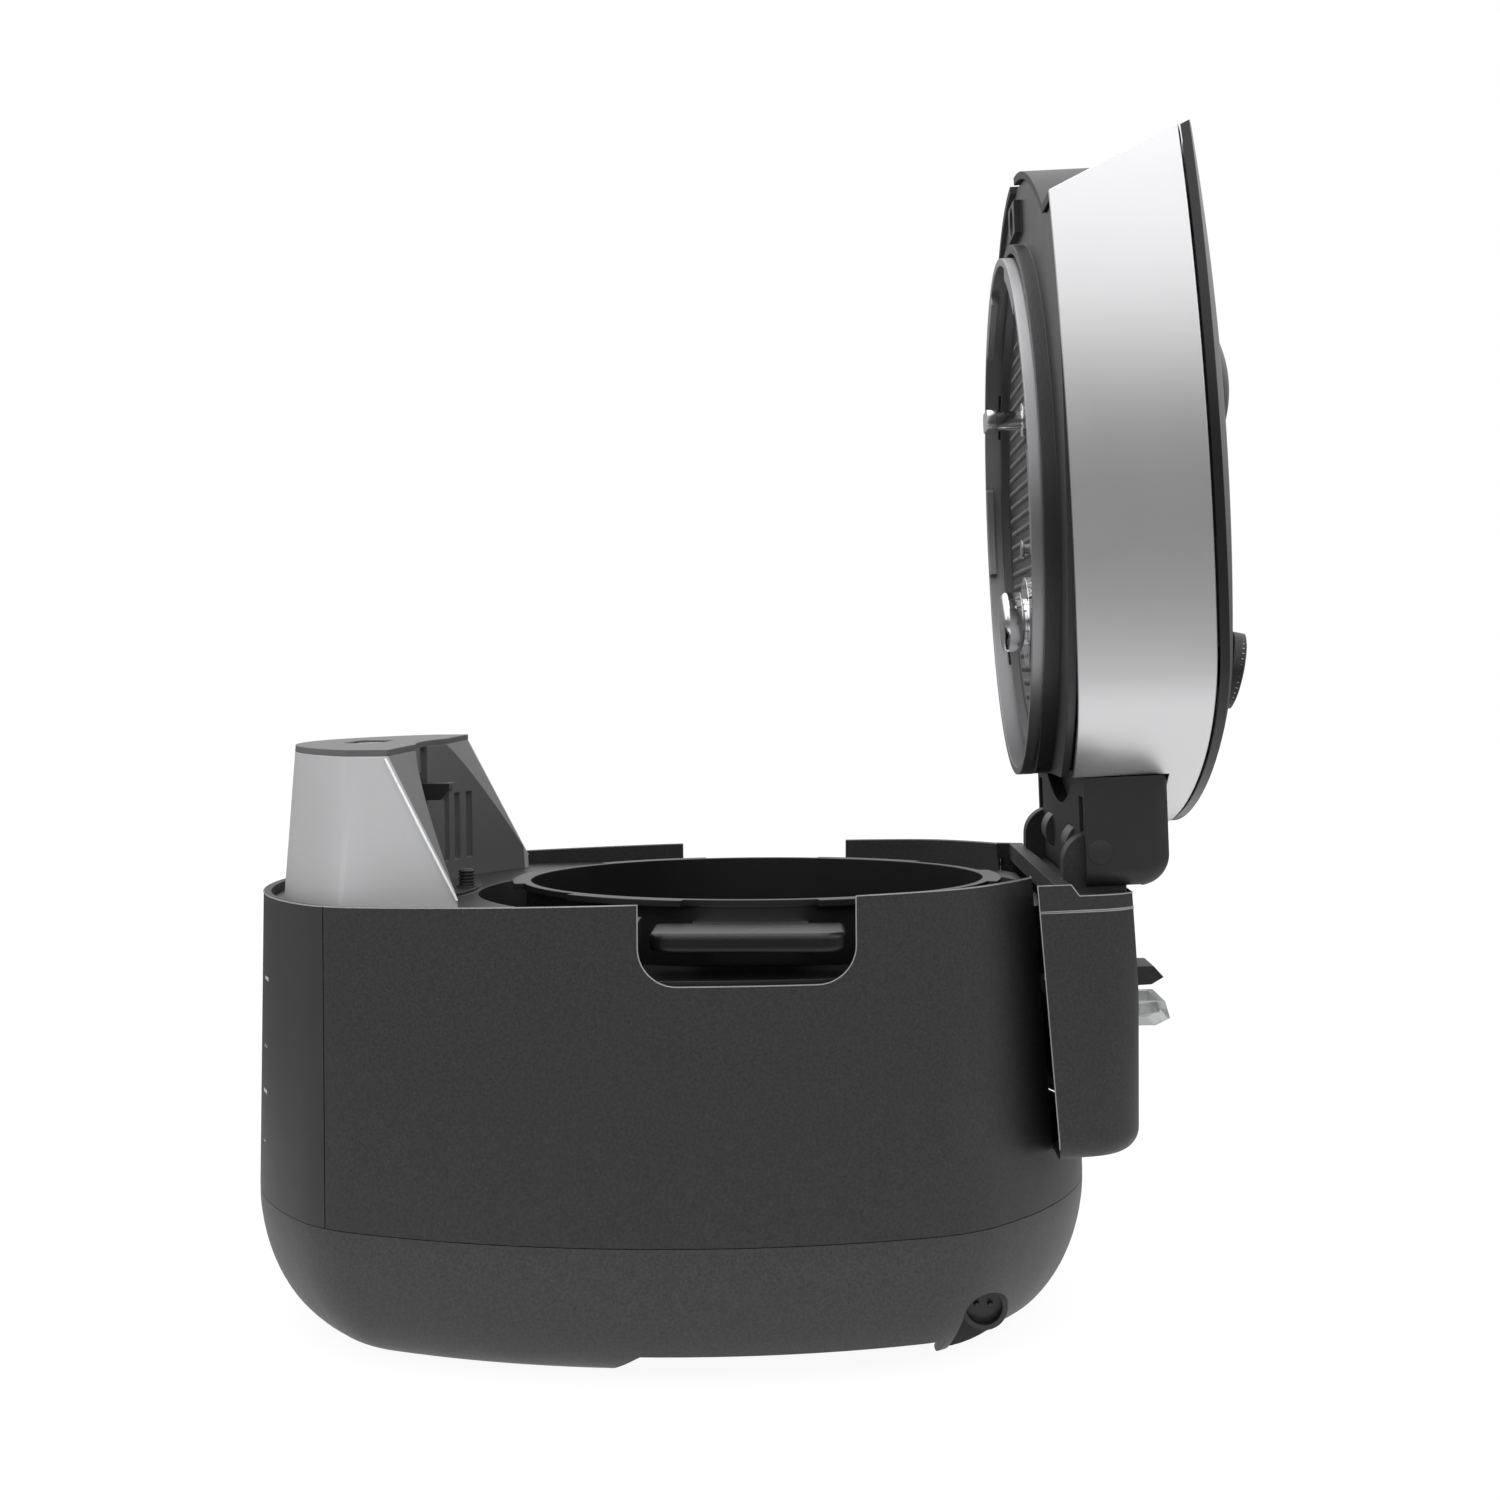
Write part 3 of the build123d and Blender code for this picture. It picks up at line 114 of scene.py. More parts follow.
@dataclass(frozen=True)
class Finish:
    """A procedural surface finish.

    Attributes:
        name: Name of the material.
        colour: Base colour, linear.
        roughness: Mean roughness.
        metallic: Metal share.
        grain: Bump texture.
        grain_depth: Strength of the bump.
        mottle: How far the colour varies.
        round_edge: Radius in metres to which sharp edges are shaded.
        coat: Weight of a clear coat.
        transmission: Share of light that passes through.
        specular: Specular level.
        stretch: Scale of the texture along the three axes.
        cloud: Scale of the colour's noise; a high one gives the speckle of textured mouldings.
    """

    name: str
    colour: Point
    roughness: float = 0.5
    metallic: float = 0.0
    grain: Grain = Grain.FINE
    grain_depth: float = 0.15
    mottle: float = 0.06
    round_edge: float = 0.6 * MM
    coat: float = 0.0
    transmission: float = 0.0
    specular: float = 0.5
    stretch: Point = (1.0, 1.0, 1.0)
    cloud: float = 22.0

    def material(self) -> bpy.types.Material:
        """Build the material, or return it if it is already there.

        Returns:
            The node material.
        """
        found = bpy.data.materials.get(self.name)
        if found:
            return found
        made = bpy.data.materials.new(self.name)
        made.use_nodes = True
        tree = made.node_tree
        shader = tree.nodes["Principled BSDF"]
        shader.inputs["Metallic"].default_value = self.metallic
        shader.inputs["Coat Weight"].default_value = self.coat
        shader.inputs["Coat Roughness"].default_value = COAT_ROUGHNESS
        shader.inputs["Transmission Weight"].default_value = self.transmission
        shader.inputs["Specular IOR Level"].default_value = self.specular
        place = tree.nodes.new("ShaderNodeTexCoord")
        scale = tree.nodes.new("ShaderNodeMapping")
        scale.inputs["Scale"].default_value = self.stretch
        tree.links.new(place.outputs["Object"], scale.inputs["Vector"])
        self._colour(tree, scale.outputs["Vector"], shader)
        self._roughness(tree, scale.outputs["Vector"], shader)
        self._relief(tree, scale.outputs["Vector"], shader)
        return made

    def _colour(self, tree: bpy.types.NodeTree, place: bpy.types.NodeSocket, shader: bpy.types.Node) -> None:
        """Vary the base colour softly over the surface.

        Args:
            tree: The material's node tree.
            place: The coordinates of the texture.
            shader: The shader that is coloured.
        """
        ramp = tree.nodes.new("ShaderNodeValToRGB")
        dark = [level * (1.0 - self.mottle) for level in self.colour]
        light = [min(1.0, level * (1.0 + self.mottle)) for level in self.colour]
        for element, position, tone in zip(ramp.color_ramp.elements, CLOUD_BAND, (dark, light)):
            element.position = position
            element.color = (*tone, 1.0)
        tree.links.new(noise(tree, place, self.cloud, CLOUD_DETAIL), ramp.inputs["Fac"])
        tree.links.new(ramp.outputs["Color"], shader.inputs["Base Color"])

    def _roughness(self, tree: bpy.types.NodeTree, place: bpy.types.NodeSocket,
                   shader: bpy.types.Node) -> None:
        """Let the roughness wander a little, as handled surfaces do.

        Args:
            tree: The material's node tree.
            place: The coordinates of the texture.
            shader: The shader that is set.
        """
        spread = tree.nodes.new("ShaderNodeMapRange")
        spread.inputs["To Min"].default_value = max(LOWEST_ROUGHNESS, self.roughness * (1.0 - SMEAR_SHARE))
        spread.inputs["To Max"].default_value = min(1.0, self.roughness * (1.0 + SMEAR_SHARE))
        tree.links.new(noise(tree, place, SMEAR_SCALE, SMEAR_DETAIL), spread.inputs["Value"])
        tree.links.new(spread.outputs["Result"], shader.inputs["Roughness"])

    def _relief(self, tree: bpy.types.NodeTree, place: bpy.types.NodeSocket, shader: bpy.types.Node) -> None:
        """Round the edges and add the moulded grain.

        Args:
            tree: The material's node tree.
            place: The coordinates of the texture.
            shader: The shader whose normal is set.
        """
        edge = tree.nodes.new("ShaderNodeBevel")
        edge.samples = EDGE_SAMPLES
        edge.inputs["Radius"].default_value = self.round_edge
        if self.grain is Grain.NONE:
            tree.links.new(edge.outputs["Normal"], shader.inputs["Normal"])
            return
        bump = tree.nodes.new("ShaderNodeBump")
        bump.inputs["Strength"].default_value = self.grain_depth
        bump.inputs["Distance"].default_value = GRAIN_HEIGHT
        tree.links.new(noise(tree, place, self.grain.value, GRAIN_DETAIL), bump.inputs["Height"])
        tree.links.new(edge.outputs["Normal"], bump.inputs["Normal"])
        tree.links.new(bump.outputs["Normal"], shader.inputs["Normal"])


CASING = Finish("CasingCharcoal", (0.02, 0.02, 0.0207), 0.5, grain_depth=0.4, mottle=0.3, specular=0.4,
                cloud=SPECKLE)
PANEL = Finish("PanelCharcoal", (0.023, 0.023, 0.024), 0.5, grain_depth=0.12, specular=0.4)
BOWL = Finish("BowlCharcoal", (0.03, 0.03, 0.0305), 0.5, grain_depth=0.4, mottle=0.3, specular=0.4,
              cloud=SPECKLE)
FRAME_BLACK = Finish("FrameBlack", (0.02, 0.02, 0.0205), 0.3, grain_depth=0.06)
COVER_BLACK = Finish("CoverBlack", (0.02, 0.02, 0.0205), 0.36, grain=Grain.COARSE, grain_depth=0.4)
DARK_GREY = Finish("DarkGrey", (0.018, 0.018, 0.0185), 0.45, grain_depth=0.2, specular=0.35)
LINER_GREY = Finish("LinerGrey", (0.11, 0.11, 0.112), 0.42, grain_depth=0.15)
CAP_GREY = Finish("CapGrey", (0.085, 0.085, 0.087), 0.34, grain_depth=0.12)
SILVER = Finish("SatinSilver", (0.66, 0.66, 0.67), 0.3, 0.85, grain_depth=0.05, mottle=0.015)
TOWER_SILVER = Finish("TowerSilver", (0.5, 0.5, 0.51), 0.42, 0.4, grain_depth=0.08, mottle=0.02)
SPRING_DARK = Finish("SpringDark", (0.12, 0.12, 0.125), 0.4, 0.9, grain_depth=0.1)
# Light silver colour paints the glint on the open button, which sits in the dark grey cap; its low roughness
# is its real gloss
BUTTON_GLINT_SILVER = Finish("ButtonPaintedGlint", (0.5, 0.5, 0.51), 0.25, 0.7, Grain.NONE)
TRIM_SILVER = Finish("TrimSilver", (0.9, 0.9, 0.91), 0.25, 0.3, Grain.NONE, mottle=0.01)
# Much lighter than the charcoal mouldings: painted highlight along their edges, for the light their chamfers
# catch
EDGE_HIGHLIGHT_GREY = Finish("PaintedEdgeHighlight", (0.3, 0.3, 0.305), 0.28, 0.2, Grain.NONE)
GLOSS = Finish("GlossBlack", (0.01, 0.01, 0.011), 0.25, grain=Grain.NONE, coat=0.15, specular=0.35)
NONSTICK = Finish("NonStick", (0.012, 0.012, 0.012), 0.3, grain=Grain.MEDIUM, grain_depth=0.1)
GRIP = Finish("GripBlack", (0.005, 0.005, 0.005), 0.33, grain=Grain.COARSE, grain_depth=0.6, specular=0.35)
RUBBER = Finish("Rubber", (0.035, 0.035, 0.035), 0.65, grain_depth=0.2)
SILICONE = Finish("Silicone", (0.03, 0.03, 0.031), 0.45, grain_depth=0.1)
STEEL = Finish("Steel", (0.5, 0.5, 0.51), 0.3, 1.0, grain_depth=0.1, stretch=(1.0, 1.0, 0.04))
CHROME = Finish("Chrome", (0.86, 0.86, 0.87), 0.08, 1.0, Grain.NONE, mottle=0.01)
ALUMINIUM = Finish("Aluminium", (0.7, 0.7, 0.71), 0.36, 1.0, grain_depth=0.1)
PLATE = Finish("PlateDark", (0.022, 0.022, 0.023), 0.3, 0.3, grain_depth=0.05)
DIMPLE = Finish("DimpleSteel", (0.12, 0.12, 0.12), 0.3, 0.8, Grain.NONE)
RING = Finish("RingMetal", (0.34, 0.34, 0.35), 0.35, 0.85, grain=Grain.MEDIUM, grain_depth=0.2)
COPPER = Finish("Copper", (0.55, 0.23, 0.1), 0.3, 0.9, Grain.COARSE, stretch=(1.0, 1.0, 8.0))
FERRITE = Finish("Ferrite", (0.05, 0.05, 0.055), 0.6)
BOARD = Finish("Board", (0.015, 0.11, 0.05), 0.4, grain_depth=0.1, mottle=0.2)
CLEAR = Finish("ClearSmoke", (0.86, 0.88, 0.88), 0.08, grain=Grain.NONE, transmission=0.92, mottle=0.01)
NATURAL = Finish("NaturalMoulding", (0.55, 0.55, 0.52), 0.5)
MARK = Finish("PrintedMark", (0.4, 0.4, 0.4), 0.5, grain_depth=0.05)
WINDOW = Finish("DisplayWindow", (0.006, 0.007, 0.008), 0.08, grain=Grain.NONE, coat=0.5)
# Near-black bars and squares laid where vents and holes are: painted shade of the openings
SLOT_SHADE_BLACK = Finish("SlotPaintedShade", (0.004, 0.004, 0.004), 0.6)

NODE_FINISHES: dict[str, Finish] = {
    "base_bowl": BOWL, "feet": RUBBER, "casing_screws": STEEL, "side_casing": CASING,
    "front_panel": PANEL, "upper_frame": FRAME_BLACK, "tower_skin": TOWER_SILVER,
    "tower_liner": LINER_GREY, "tower_cap": CAP_GREY, "open_button": BUTTON_GLINT_SILVER,
    "button_spring": STEEL, "latch_hook": FRAME_BLACK, "latch_spring": STEEL,
    "interlock_post": RUBBER, "rear_housing": CASING, "hinge_cover": CASING, "dew_collector": CLEAR,
    "hinge_shaft": STEEL, "inner_pot": NONSTICK, "pot_grips": GRIP, "grip_brackets": STEEL,
    "heat_liner": ALUMINIUM, "pot_cushions": SILICONE, "coil_carrier": NATURAL,
    "induction_coil": COPPER, "ferrite_bars": FERRITE, "sensor_plunger": ALUMINIUM,
    "sensor_spring": STEEL, "sensor_seat": NATURAL, "fan_frame": FRAME_BLACK,
    "fan_rotor": FRAME_BLACK, "power_board": BOARD, "heat_sink": ALUMINIUM,
    "board_parts": FRAME_BLACK, "control_board": BOARD, "power_inlet": FRAME_BLACK,
    "lid_band": SILVER, "lid_front": DARK_GREY, "lid_top_panel": GLOSS, "lid_cover": COVER_BLACK,
    "lid_carrier": STEEL, "carrier_screws": STEEL, "lock_ring": RING, "pot_gasket": SILICONE,
    "inner_plate": PLATE, "lid_liner": FRAME_BLACK, "plate_stem": CHROME, "safety_valve": CHROME,
    "float_pin": STEEL, "knob_base": GLOSS, "steam_knob": DARK_GREY, "knob_ring": DARK_GREY,
    "pressure_dome": GLOSS, "steam_duct": SILICONE, "lock_solenoid": STEEL,
    "lid_hinge_block": DARK_GREY, "hinge_springs": SPRING_DARK,
}


def opening_matrix() -> Matrix:
    """The turn about the hinge that opens the lid."""
    there = Matrix.Translation((0.0, HINGE_Y, HINGE_Z))
    return there @ Matrix.Rotation(OPEN_ANGLE, 4, "X") @ there.inverted()


def smooth_tree() -> bpy.types.NodeTree:
    """Geometry nodes that weld a CAD node's loose triangles and shade its curved faces smooth.

    Returns:
        The node group, which is built once.
    """
    found = bpy.data.node_groups.get("SmoothCasting")
    if found:
        return found
    tree = bpy.data.node_groups.new("SmoothCasting", "GeometryNodeTree")
    tree.interface.new_socket("Geometry", in_out="INPUT", socket_type="NodeSocketGeometry")
    angle = tree.interface.new_socket("Sharp Angle", in_out="INPUT", socket_type="NodeSocketFloat")
    angle.default_value = CAD_SHARP_ANGLE
    tree.interface.new_socket("Geometry", in_out="OUTPUT", socket_type="NodeSocketGeometry")
    nodes, links = tree.nodes, tree.links
    start, end = nodes.new("NodeGroupInput"), nodes.new("NodeGroupOutput")
    weld = nodes.new("GeometryNodeMergeByDistance")
    weld.inputs["Distance"].default_value = CAD_WELD
    faces = nodes.new("GeometryNodeSetShadeSmooth")
    edges = nodes.new("GeometryNodeSetShadeSmooth")
    edges.domain = "EDGE"
    edges.inputs["Shade Smooth"].default_value = False
    turn = nodes.new("GeometryNodeInputMeshEdgeAngle")
    sharp = nodes.new("FunctionNodeCompare")
    sharp.operation = "GREATER_THAN"
    links.new(start.outputs["Geometry"], weld.inputs["Geometry"])
    links.new(weld.outputs["Geometry"], faces.inputs["Geometry"])
    links.new(faces.outputs["Geometry"], edges.inputs["Geometry"])
    links.new(turn.outputs["Unsigned Angle"], sharp.inputs["A"])
    links.new(start.outputs["Sharp Angle"], sharp.inputs["B"])
    links.new(sharp.outputs["Result"], edges.inputs["Selection"])
    links.new(edges.outputs["Geometry"], end.inputs["Geometry"])
    return tree


def dress_node(name: str, finish: Finish) -> None:
    """Give a CAD node its finish and smooth shading.

    Args:
        name: The node's name.
        finish: Its finish.
    """
    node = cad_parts[name]
    node.data.materials.clear()
    node.data.materials.append(finish.material())
    shading = node.modifiers.new("SmoothCasting", "NODES")
    shading.node_group = smooth_tree()


def settle(piece: bpy.types.Object, finish: Finish, body: Body) -> bpy.types.Object:
    """Finish a piece and let it ride on its body.

    Args:
        piece: The piece, with its place in its mesh.
        finish: Its finish.
        body: The body that carries it.

    Returns:
        The piece.
    """
    piece.data.materials.clear()
    piece.data.materials.append(finish.material())
    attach(piece, body.value)
    LOG.info("made %s on %s", piece.name, body.value)
    return piece


def mesh_piece(name: str, shape: bmesh.types.BMesh, smooth: bool = True) -> bpy.types.Object:
    """Turn a bmesh into an object at the origin.

    Args:
        name: The object's name.
        shape: The mesh, in metres; it is freed.
        smooth: Whether its faces are shaded smooth.

    Returns:
        The linked object.
    """
    bmesh.ops.remove_doubles(shape, verts=shape.verts, dist=PIECE_WELD)
    bmesh.ops.recalc_face_normals(shape, faces=shape.faces)
    data = bpy.data.meshes.new(name)
    shape.to_mesh(data)
    shape.free()
    if smooth:
        data.shade_smooth()
        data.set_sharp_from_angle(angle=PIECE_SHARP_ANGLE)
    piece = bpy.data.objects.new(name, data)
    bpy.context.collection.objects.link(piece)
    return piece


def grey_ramp(tree: bpy.types.NodeTree, stops: Pairs) -> bpy.types.Node:
    """Add a colour ramp of greys.

    Args:
        tree: The node tree it is added to.
        stops: The position and level of each stop.

    Returns:
        The ramp.
    """
    ramp = tree.nodes.new("ShaderNodeValToRGB")
    while len(ramp.color_ramp.elements) < len(stops):
        ramp.color_ramp.elements.new(0.5)
    for element, (position, level) in zip(ramp.color_ramp.elements, stops):
        element.position = position
        element.color = (level, level, level, 1.0)
    return ramp


@dataclass(frozen=True)
class SoftBox:
    """A square studio light that faces a point on the object."""

    name: str
    place: Point
    aim: Point
    size: float
    power: float

    def hang(self) -> None:
        """Hang the light."""
        data = bpy.data.lights.new(self.name, "AREA")
        data.size = self.size
        data.energy = self.power
        made = bpy.data.objects.new(self.name, data)
        made.location = self.place
        made.rotation_euler = (Vector(self.aim) - Vector(self.place)).to_track_quat("-Z", "Y").to_euler()
        bpy.context.collection.objects.link(made)


@dataclass(frozen=True)
class Studio:
    """Floor, lights, world and camera."""

    camera_place: Point = (0.964, 0.025, 0.263)
    yaw: float = math.radians(1.63)
    pitch: float = math.radians(2.05)
    roll: float = math.radians(0.45)
    focal_pixels: float = 2288.0
    frame_pixels: float = 1500.0
    sensor_mm: float = 36.0
    clip_start: float = 0.01
    floor_size: float = 6.0
    paper_tone: float = 0.9
    paper_roughness: float = 0.9
    floor_glow: float = 0.9
    floor_level: float = 1.04
    # Painted reflection: how far the floor's reflection-only glow reaches, and its grey levels from the
    # middle outwards
    painted_reflection_reach: float = 3.0
    painted_reflection_stops: Pairs = ((0.0, 0.95), (0.1, 1.0), (0.17, 0.66), (0.21, 0.4), (0.27, 0.27), (0.35, 0.2),
                          (1.0, 0.16))
    sky_strength: float = 1.45
    sky_stops: Pairs = ((0.0, 0.12), (0.5, 0.12), (0.54, 0.2), (0.59, 0.36), (0.64, 0.6), (0.69, 0.8),
                        (0.78, 0.95), (1.0, 1.0))
    soft_boxes: tuple[SoftBox, ...] = (
        SoftBox("TopBox", (0.1, -0.1, 1.6), aim=(0.0, 0.0, 0.2), size=1.4, power=7.0),
        SoftBox("FrontBox", (0.5, -1.5, 0.9), aim=(0.0, 0.0, 0.2), size=1.0, power=2.5),
        SoftBox("RearBox", (0.3, 1.6, 1.0), aim=(0.0, 0.1, 0.2), size=1.0, power=4.0),
    )

    def camera(self) -> None:
        """Stand the camera where the photograph was taken from."""
        data = bpy.data.cameras.new("Camera")
        data.sensor_width = self.sensor_mm
        data.lens = self.sensor_mm * self.focal_pixels / self.frame_pixels
        data.clip_start = self.clip_start
        look = Vector((-math.cos(self.yaw) * math.cos(self.pitch),
                       -math.sin(self.yaw) * math.cos(self.pitch), -math.sin(self.pitch)))
        level = look.cross(Vector((0.0, 0.0, 1.0))).normalized()
        upright = level.cross(look)
        up = upright * math.cos(self.roll) + level * math.sin(self.roll)
        right = level * math.cos(self.roll) - upright * math.sin(self.roll)
        turn = Matrix((right, up, -look)).transposed().to_4x4()
        made = bpy.data.objects.new("Camera", data)
        made.matrix_world = Matrix.Translation(self.camera_place) @ turn
        bpy.context.collection.objects.link(made)
        bpy.context.scene.camera = made

    def floor_painted_reflection(self, tree: bpy.types.NodeTree) -> bpy.types.NodeSocket:
        """A painted reflection: a glow that only reflections see on the floor, bright under the object, dark
        towards the room.

        Args:
            tree: The floor material's node tree.

        Returns:
            The shader socket.
        """
        place = tree.nodes.new("ShaderNodeTexCoord")
        reach = tree.nodes.new("ShaderNodeVectorMath")
        reach.operation = "LENGTH"
        share = tree.nodes.new("ShaderNodeMapRange")
        share.inputs["From Max"].default_value = self.painted_reflection_reach
        ramp = grey_ramp(tree, self.painted_reflection_stops)
        glow = tree.nodes.new("ShaderNodeEmission")
        tree.links.new(place.outputs["Object"], reach.inputs[0])
        tree.links.new(reach.outputs["Value"], share.inputs["Value"])
        tree.links.new(share.outputs["Result"], ramp.inputs["Fac"])
        tree.links.new(ramp.outputs["Color"], glow.inputs["Color"])
        return glow.outputs[0]

    def floor_paint(self) -> bpy.types.Material:
        """Mix what the camera, reflections and all other rays see of the floor; reflections see a painted
        reflection.

        Returns:
            The floor's material.
        """
        paint = bpy.data.materials.new("FloorPaper")
        paint.use_nodes = True
        nodes, links = paint.node_tree.nodes, paint.node_tree.links
        paper = nodes["Principled BSDF"]
        paper.inputs["Base Color"].default_value = (self.paper_tone, self.paper_tone, self.paper_tone, 1.0)
        paper.inputs["Roughness"].default_value = self.paper_roughness
        glow = nodes.new("ShaderNodeEmission")
        glow.inputs["Strength"].default_value = self.floor_level
        path = nodes.new("ShaderNodeLightPath")
        mirrored = nodes.new("ShaderNodeMixShader")
        links.new(path.outputs["Is Glossy Ray"], mirrored.inputs["Fac"])
        links.new(paper.outputs[0], mirrored.inputs[1])
        links.new(self.floor_painted_reflection(paint.node_tree), mirrored.inputs[2])
        share = nodes.new("ShaderNodeMath")
        share.operation = "MULTIPLY"
        share.inputs[1].default_value = self.floor_glow
        links.new(path.outputs["Is Camera Ray"], share.inputs[0])
        seen = nodes.new("ShaderNodeMixShader")
        links.new(share.outputs[0], seen.inputs["Fac"])
        links.new(mirrored.outputs[0], seen.inputs[1])
        links.new(glow.outputs[0], seen.inputs[2])
        links.new(seen.outputs[0], nodes["Material Output"].inputs["Surface"])
        return paint

    def floor(self) -> None:
        """Lay a plain pale floor."""
        shape = bmesh.new()
        bmesh.ops.create_grid(shape, x_segments=2, y_segments=2, size=self.floor_size)
        floor = mesh_piece("Floor", shape, smooth=False)
        floor.data.materials.append(self.floor_paint())

    def world(self) -> None:
        """White behind the object, and a studio that is bright above and dark below eye level."""
        world = bpy.data.worlds.new("Studio")
        bpy.context.scene.world = world
        world.use_nodes = True
        nodes, links = world.node_tree.nodes, world.node_tree.links
        back = nodes["Background"]
        back.inputs["Strength"].default_value = self.sky_strength
        place = nodes.new("ShaderNodeTexCoord")
        split = nodes.new("ShaderNodeSeparateXYZ")
        lift = nodes.new("ShaderNodeMapRange")
        lift.inputs["From Min"].default_value = -1.0
        ramp = grey_ramp(world.node_tree, self.sky_stops)
        path = nodes.new("ShaderNodeLightPath")
        mix = nodes.new("ShaderNodeMix")
        mix.data_type = "RGBA"
        white = 1.0 / self.sky_strength
        mix.inputs["B"].default_value = (white, white, white, 1.0)
        links.new(place.outputs["Generated"], split.inputs[0])
        links.new(split.outputs["Z"], lift.inputs["Value"])
        links.new(lift.outputs["Result"], ramp.inputs["Fac"])
        links.new(path.outputs["Is Camera Ray"], mix.inputs["Factor"])
        links.new(ramp.outputs["Color"], mix.inputs["A"])
        links.new(mix.outputs["Result"], back.inputs["Color"])

    def build(self) -> None:
        """Set up the whole studio."""
        self.camera()
        self.floor()
        self.world()
        for box in self.soft_boxes:
            box.hang()
        bpy.context.scene.view_settings.view_transform = "Standard"


class Recipe:
    """A geometry-node recipe with named inputs that bakes to a plain mesh piece."""

    def __init__(self, name: str, source: bpy.types.Mesh | None = None) -> None:
        """Start an empty recipe.

        Args:
            name: The name of the recipe and its piece.
            source: The mesh it starts from, if it starts from one.
        """
        self.name = name
        self.source = source or bpy.data.meshes.new(name)
        self.tree = bpy.data.node_groups.new(name, "GeometryNodeTree")
        self.tree.interface.new_socket("Source", in_out="INPUT", socket_type="NodeSocketGeometry")
        self.start = self.tree.nodes.new("NodeGroupInput")
        self.values: dict[str, float] = {}

    def number(self, name: str, value: float, whole: bool = False) -> bpy.types.NodeSocket:
        """Add a named input.

        Args:
            name: The input's name.
            value: The value it is set to.
            whole: Whether it counts something.

        Returns:
            The socket that gives the value inside the recipe.
        """
        kind = "NodeSocketInt" if whole else "NodeSocketFloat"
        socket = self.tree.interface.new_socket(name, in_out="INPUT", socket_type=kind)
        self.values[socket.identifier] = value
        return self.start.outputs[name]

    def add(self, kind: str, **settings: str) -> bpy.types.Node:
        """Add a node and set its properties.

        Args:
            kind: The node's type.
            **settings: Its properties and their values.

        Returns:
            The node.
        """
        node = self.tree.nodes.new(kind)
        for key, value in settings.items():
            setattr(node, key, value)
        return node

    def link(self, source: bpy.types.NodeSocket, target: bpy.types.NodeSocket) -> None:
        """Join two sockets."""
        self.tree.links.new(source, target)

    def maths(self, operation: str, first: bpy.types.NodeSocket | float,
              second: bpy.types.NodeSocket | float) -> bpy.types.NodeSocket:
        """Add one sum.

        Args:
            operation: What is done with the two sides.
            first: A socket or a number.
            second: A socket or a number.

        Returns:
            The socket of the result.
        """
        node = self.add("ShaderNodeMath", operation=operation)
        for side, value in zip(node.inputs, (first, second)):
            if isinstance(value, (int, float)):
                side.default_value = value
            else:
                self.link(value, side)
        return node.outputs[0]

    def bake(self, geometry: bpy.types.NodeSocket, finish: Finish) -> bpy.types.Object:
        """Realise the instances, set the material and turn the result into a plain mesh object.

        Args:
            geometry: The socket of the finished geometry.
            finish: The finish of its faces.

        Returns:
            The linked object, with no modifier left.
        """
        self.tree.interface.new_socket("Geometry", in_out="OUTPUT", socket_type="NodeSocketGeometry")
        real = self.add("GeometryNodeRealizeInstances")
        paint = self.add("GeometryNodeSetMaterial")
        paint.inputs["Material"].default_value = finish.material()
        end = self.add("NodeGroupOutput")
        self.link(geometry, real.inputs[0])
        self.link(real.outputs[0], paint.inputs["Geometry"])
        self.link(paint.outputs[0], end.inputs[0])
        holder = bpy.data.objects.new(self.name, self.source)
        bpy.context.collection.objects.link(holder)
        cooked = holder.modifiers.new(self.name, "NODES")
        cooked.node_group = self.tree
        for identifier, value in self.values.items():
            cooked[identifier] = value
        bpy.context.view_layer.update()
        cooked_holder = holder.evaluated_get(bpy.context.evaluated_depsgraph_get())
        mesh = bpy.data.meshes.new_from_object(cooked_holder)
        holder.modifiers.clear()
        holder.data = mesh
        return holder


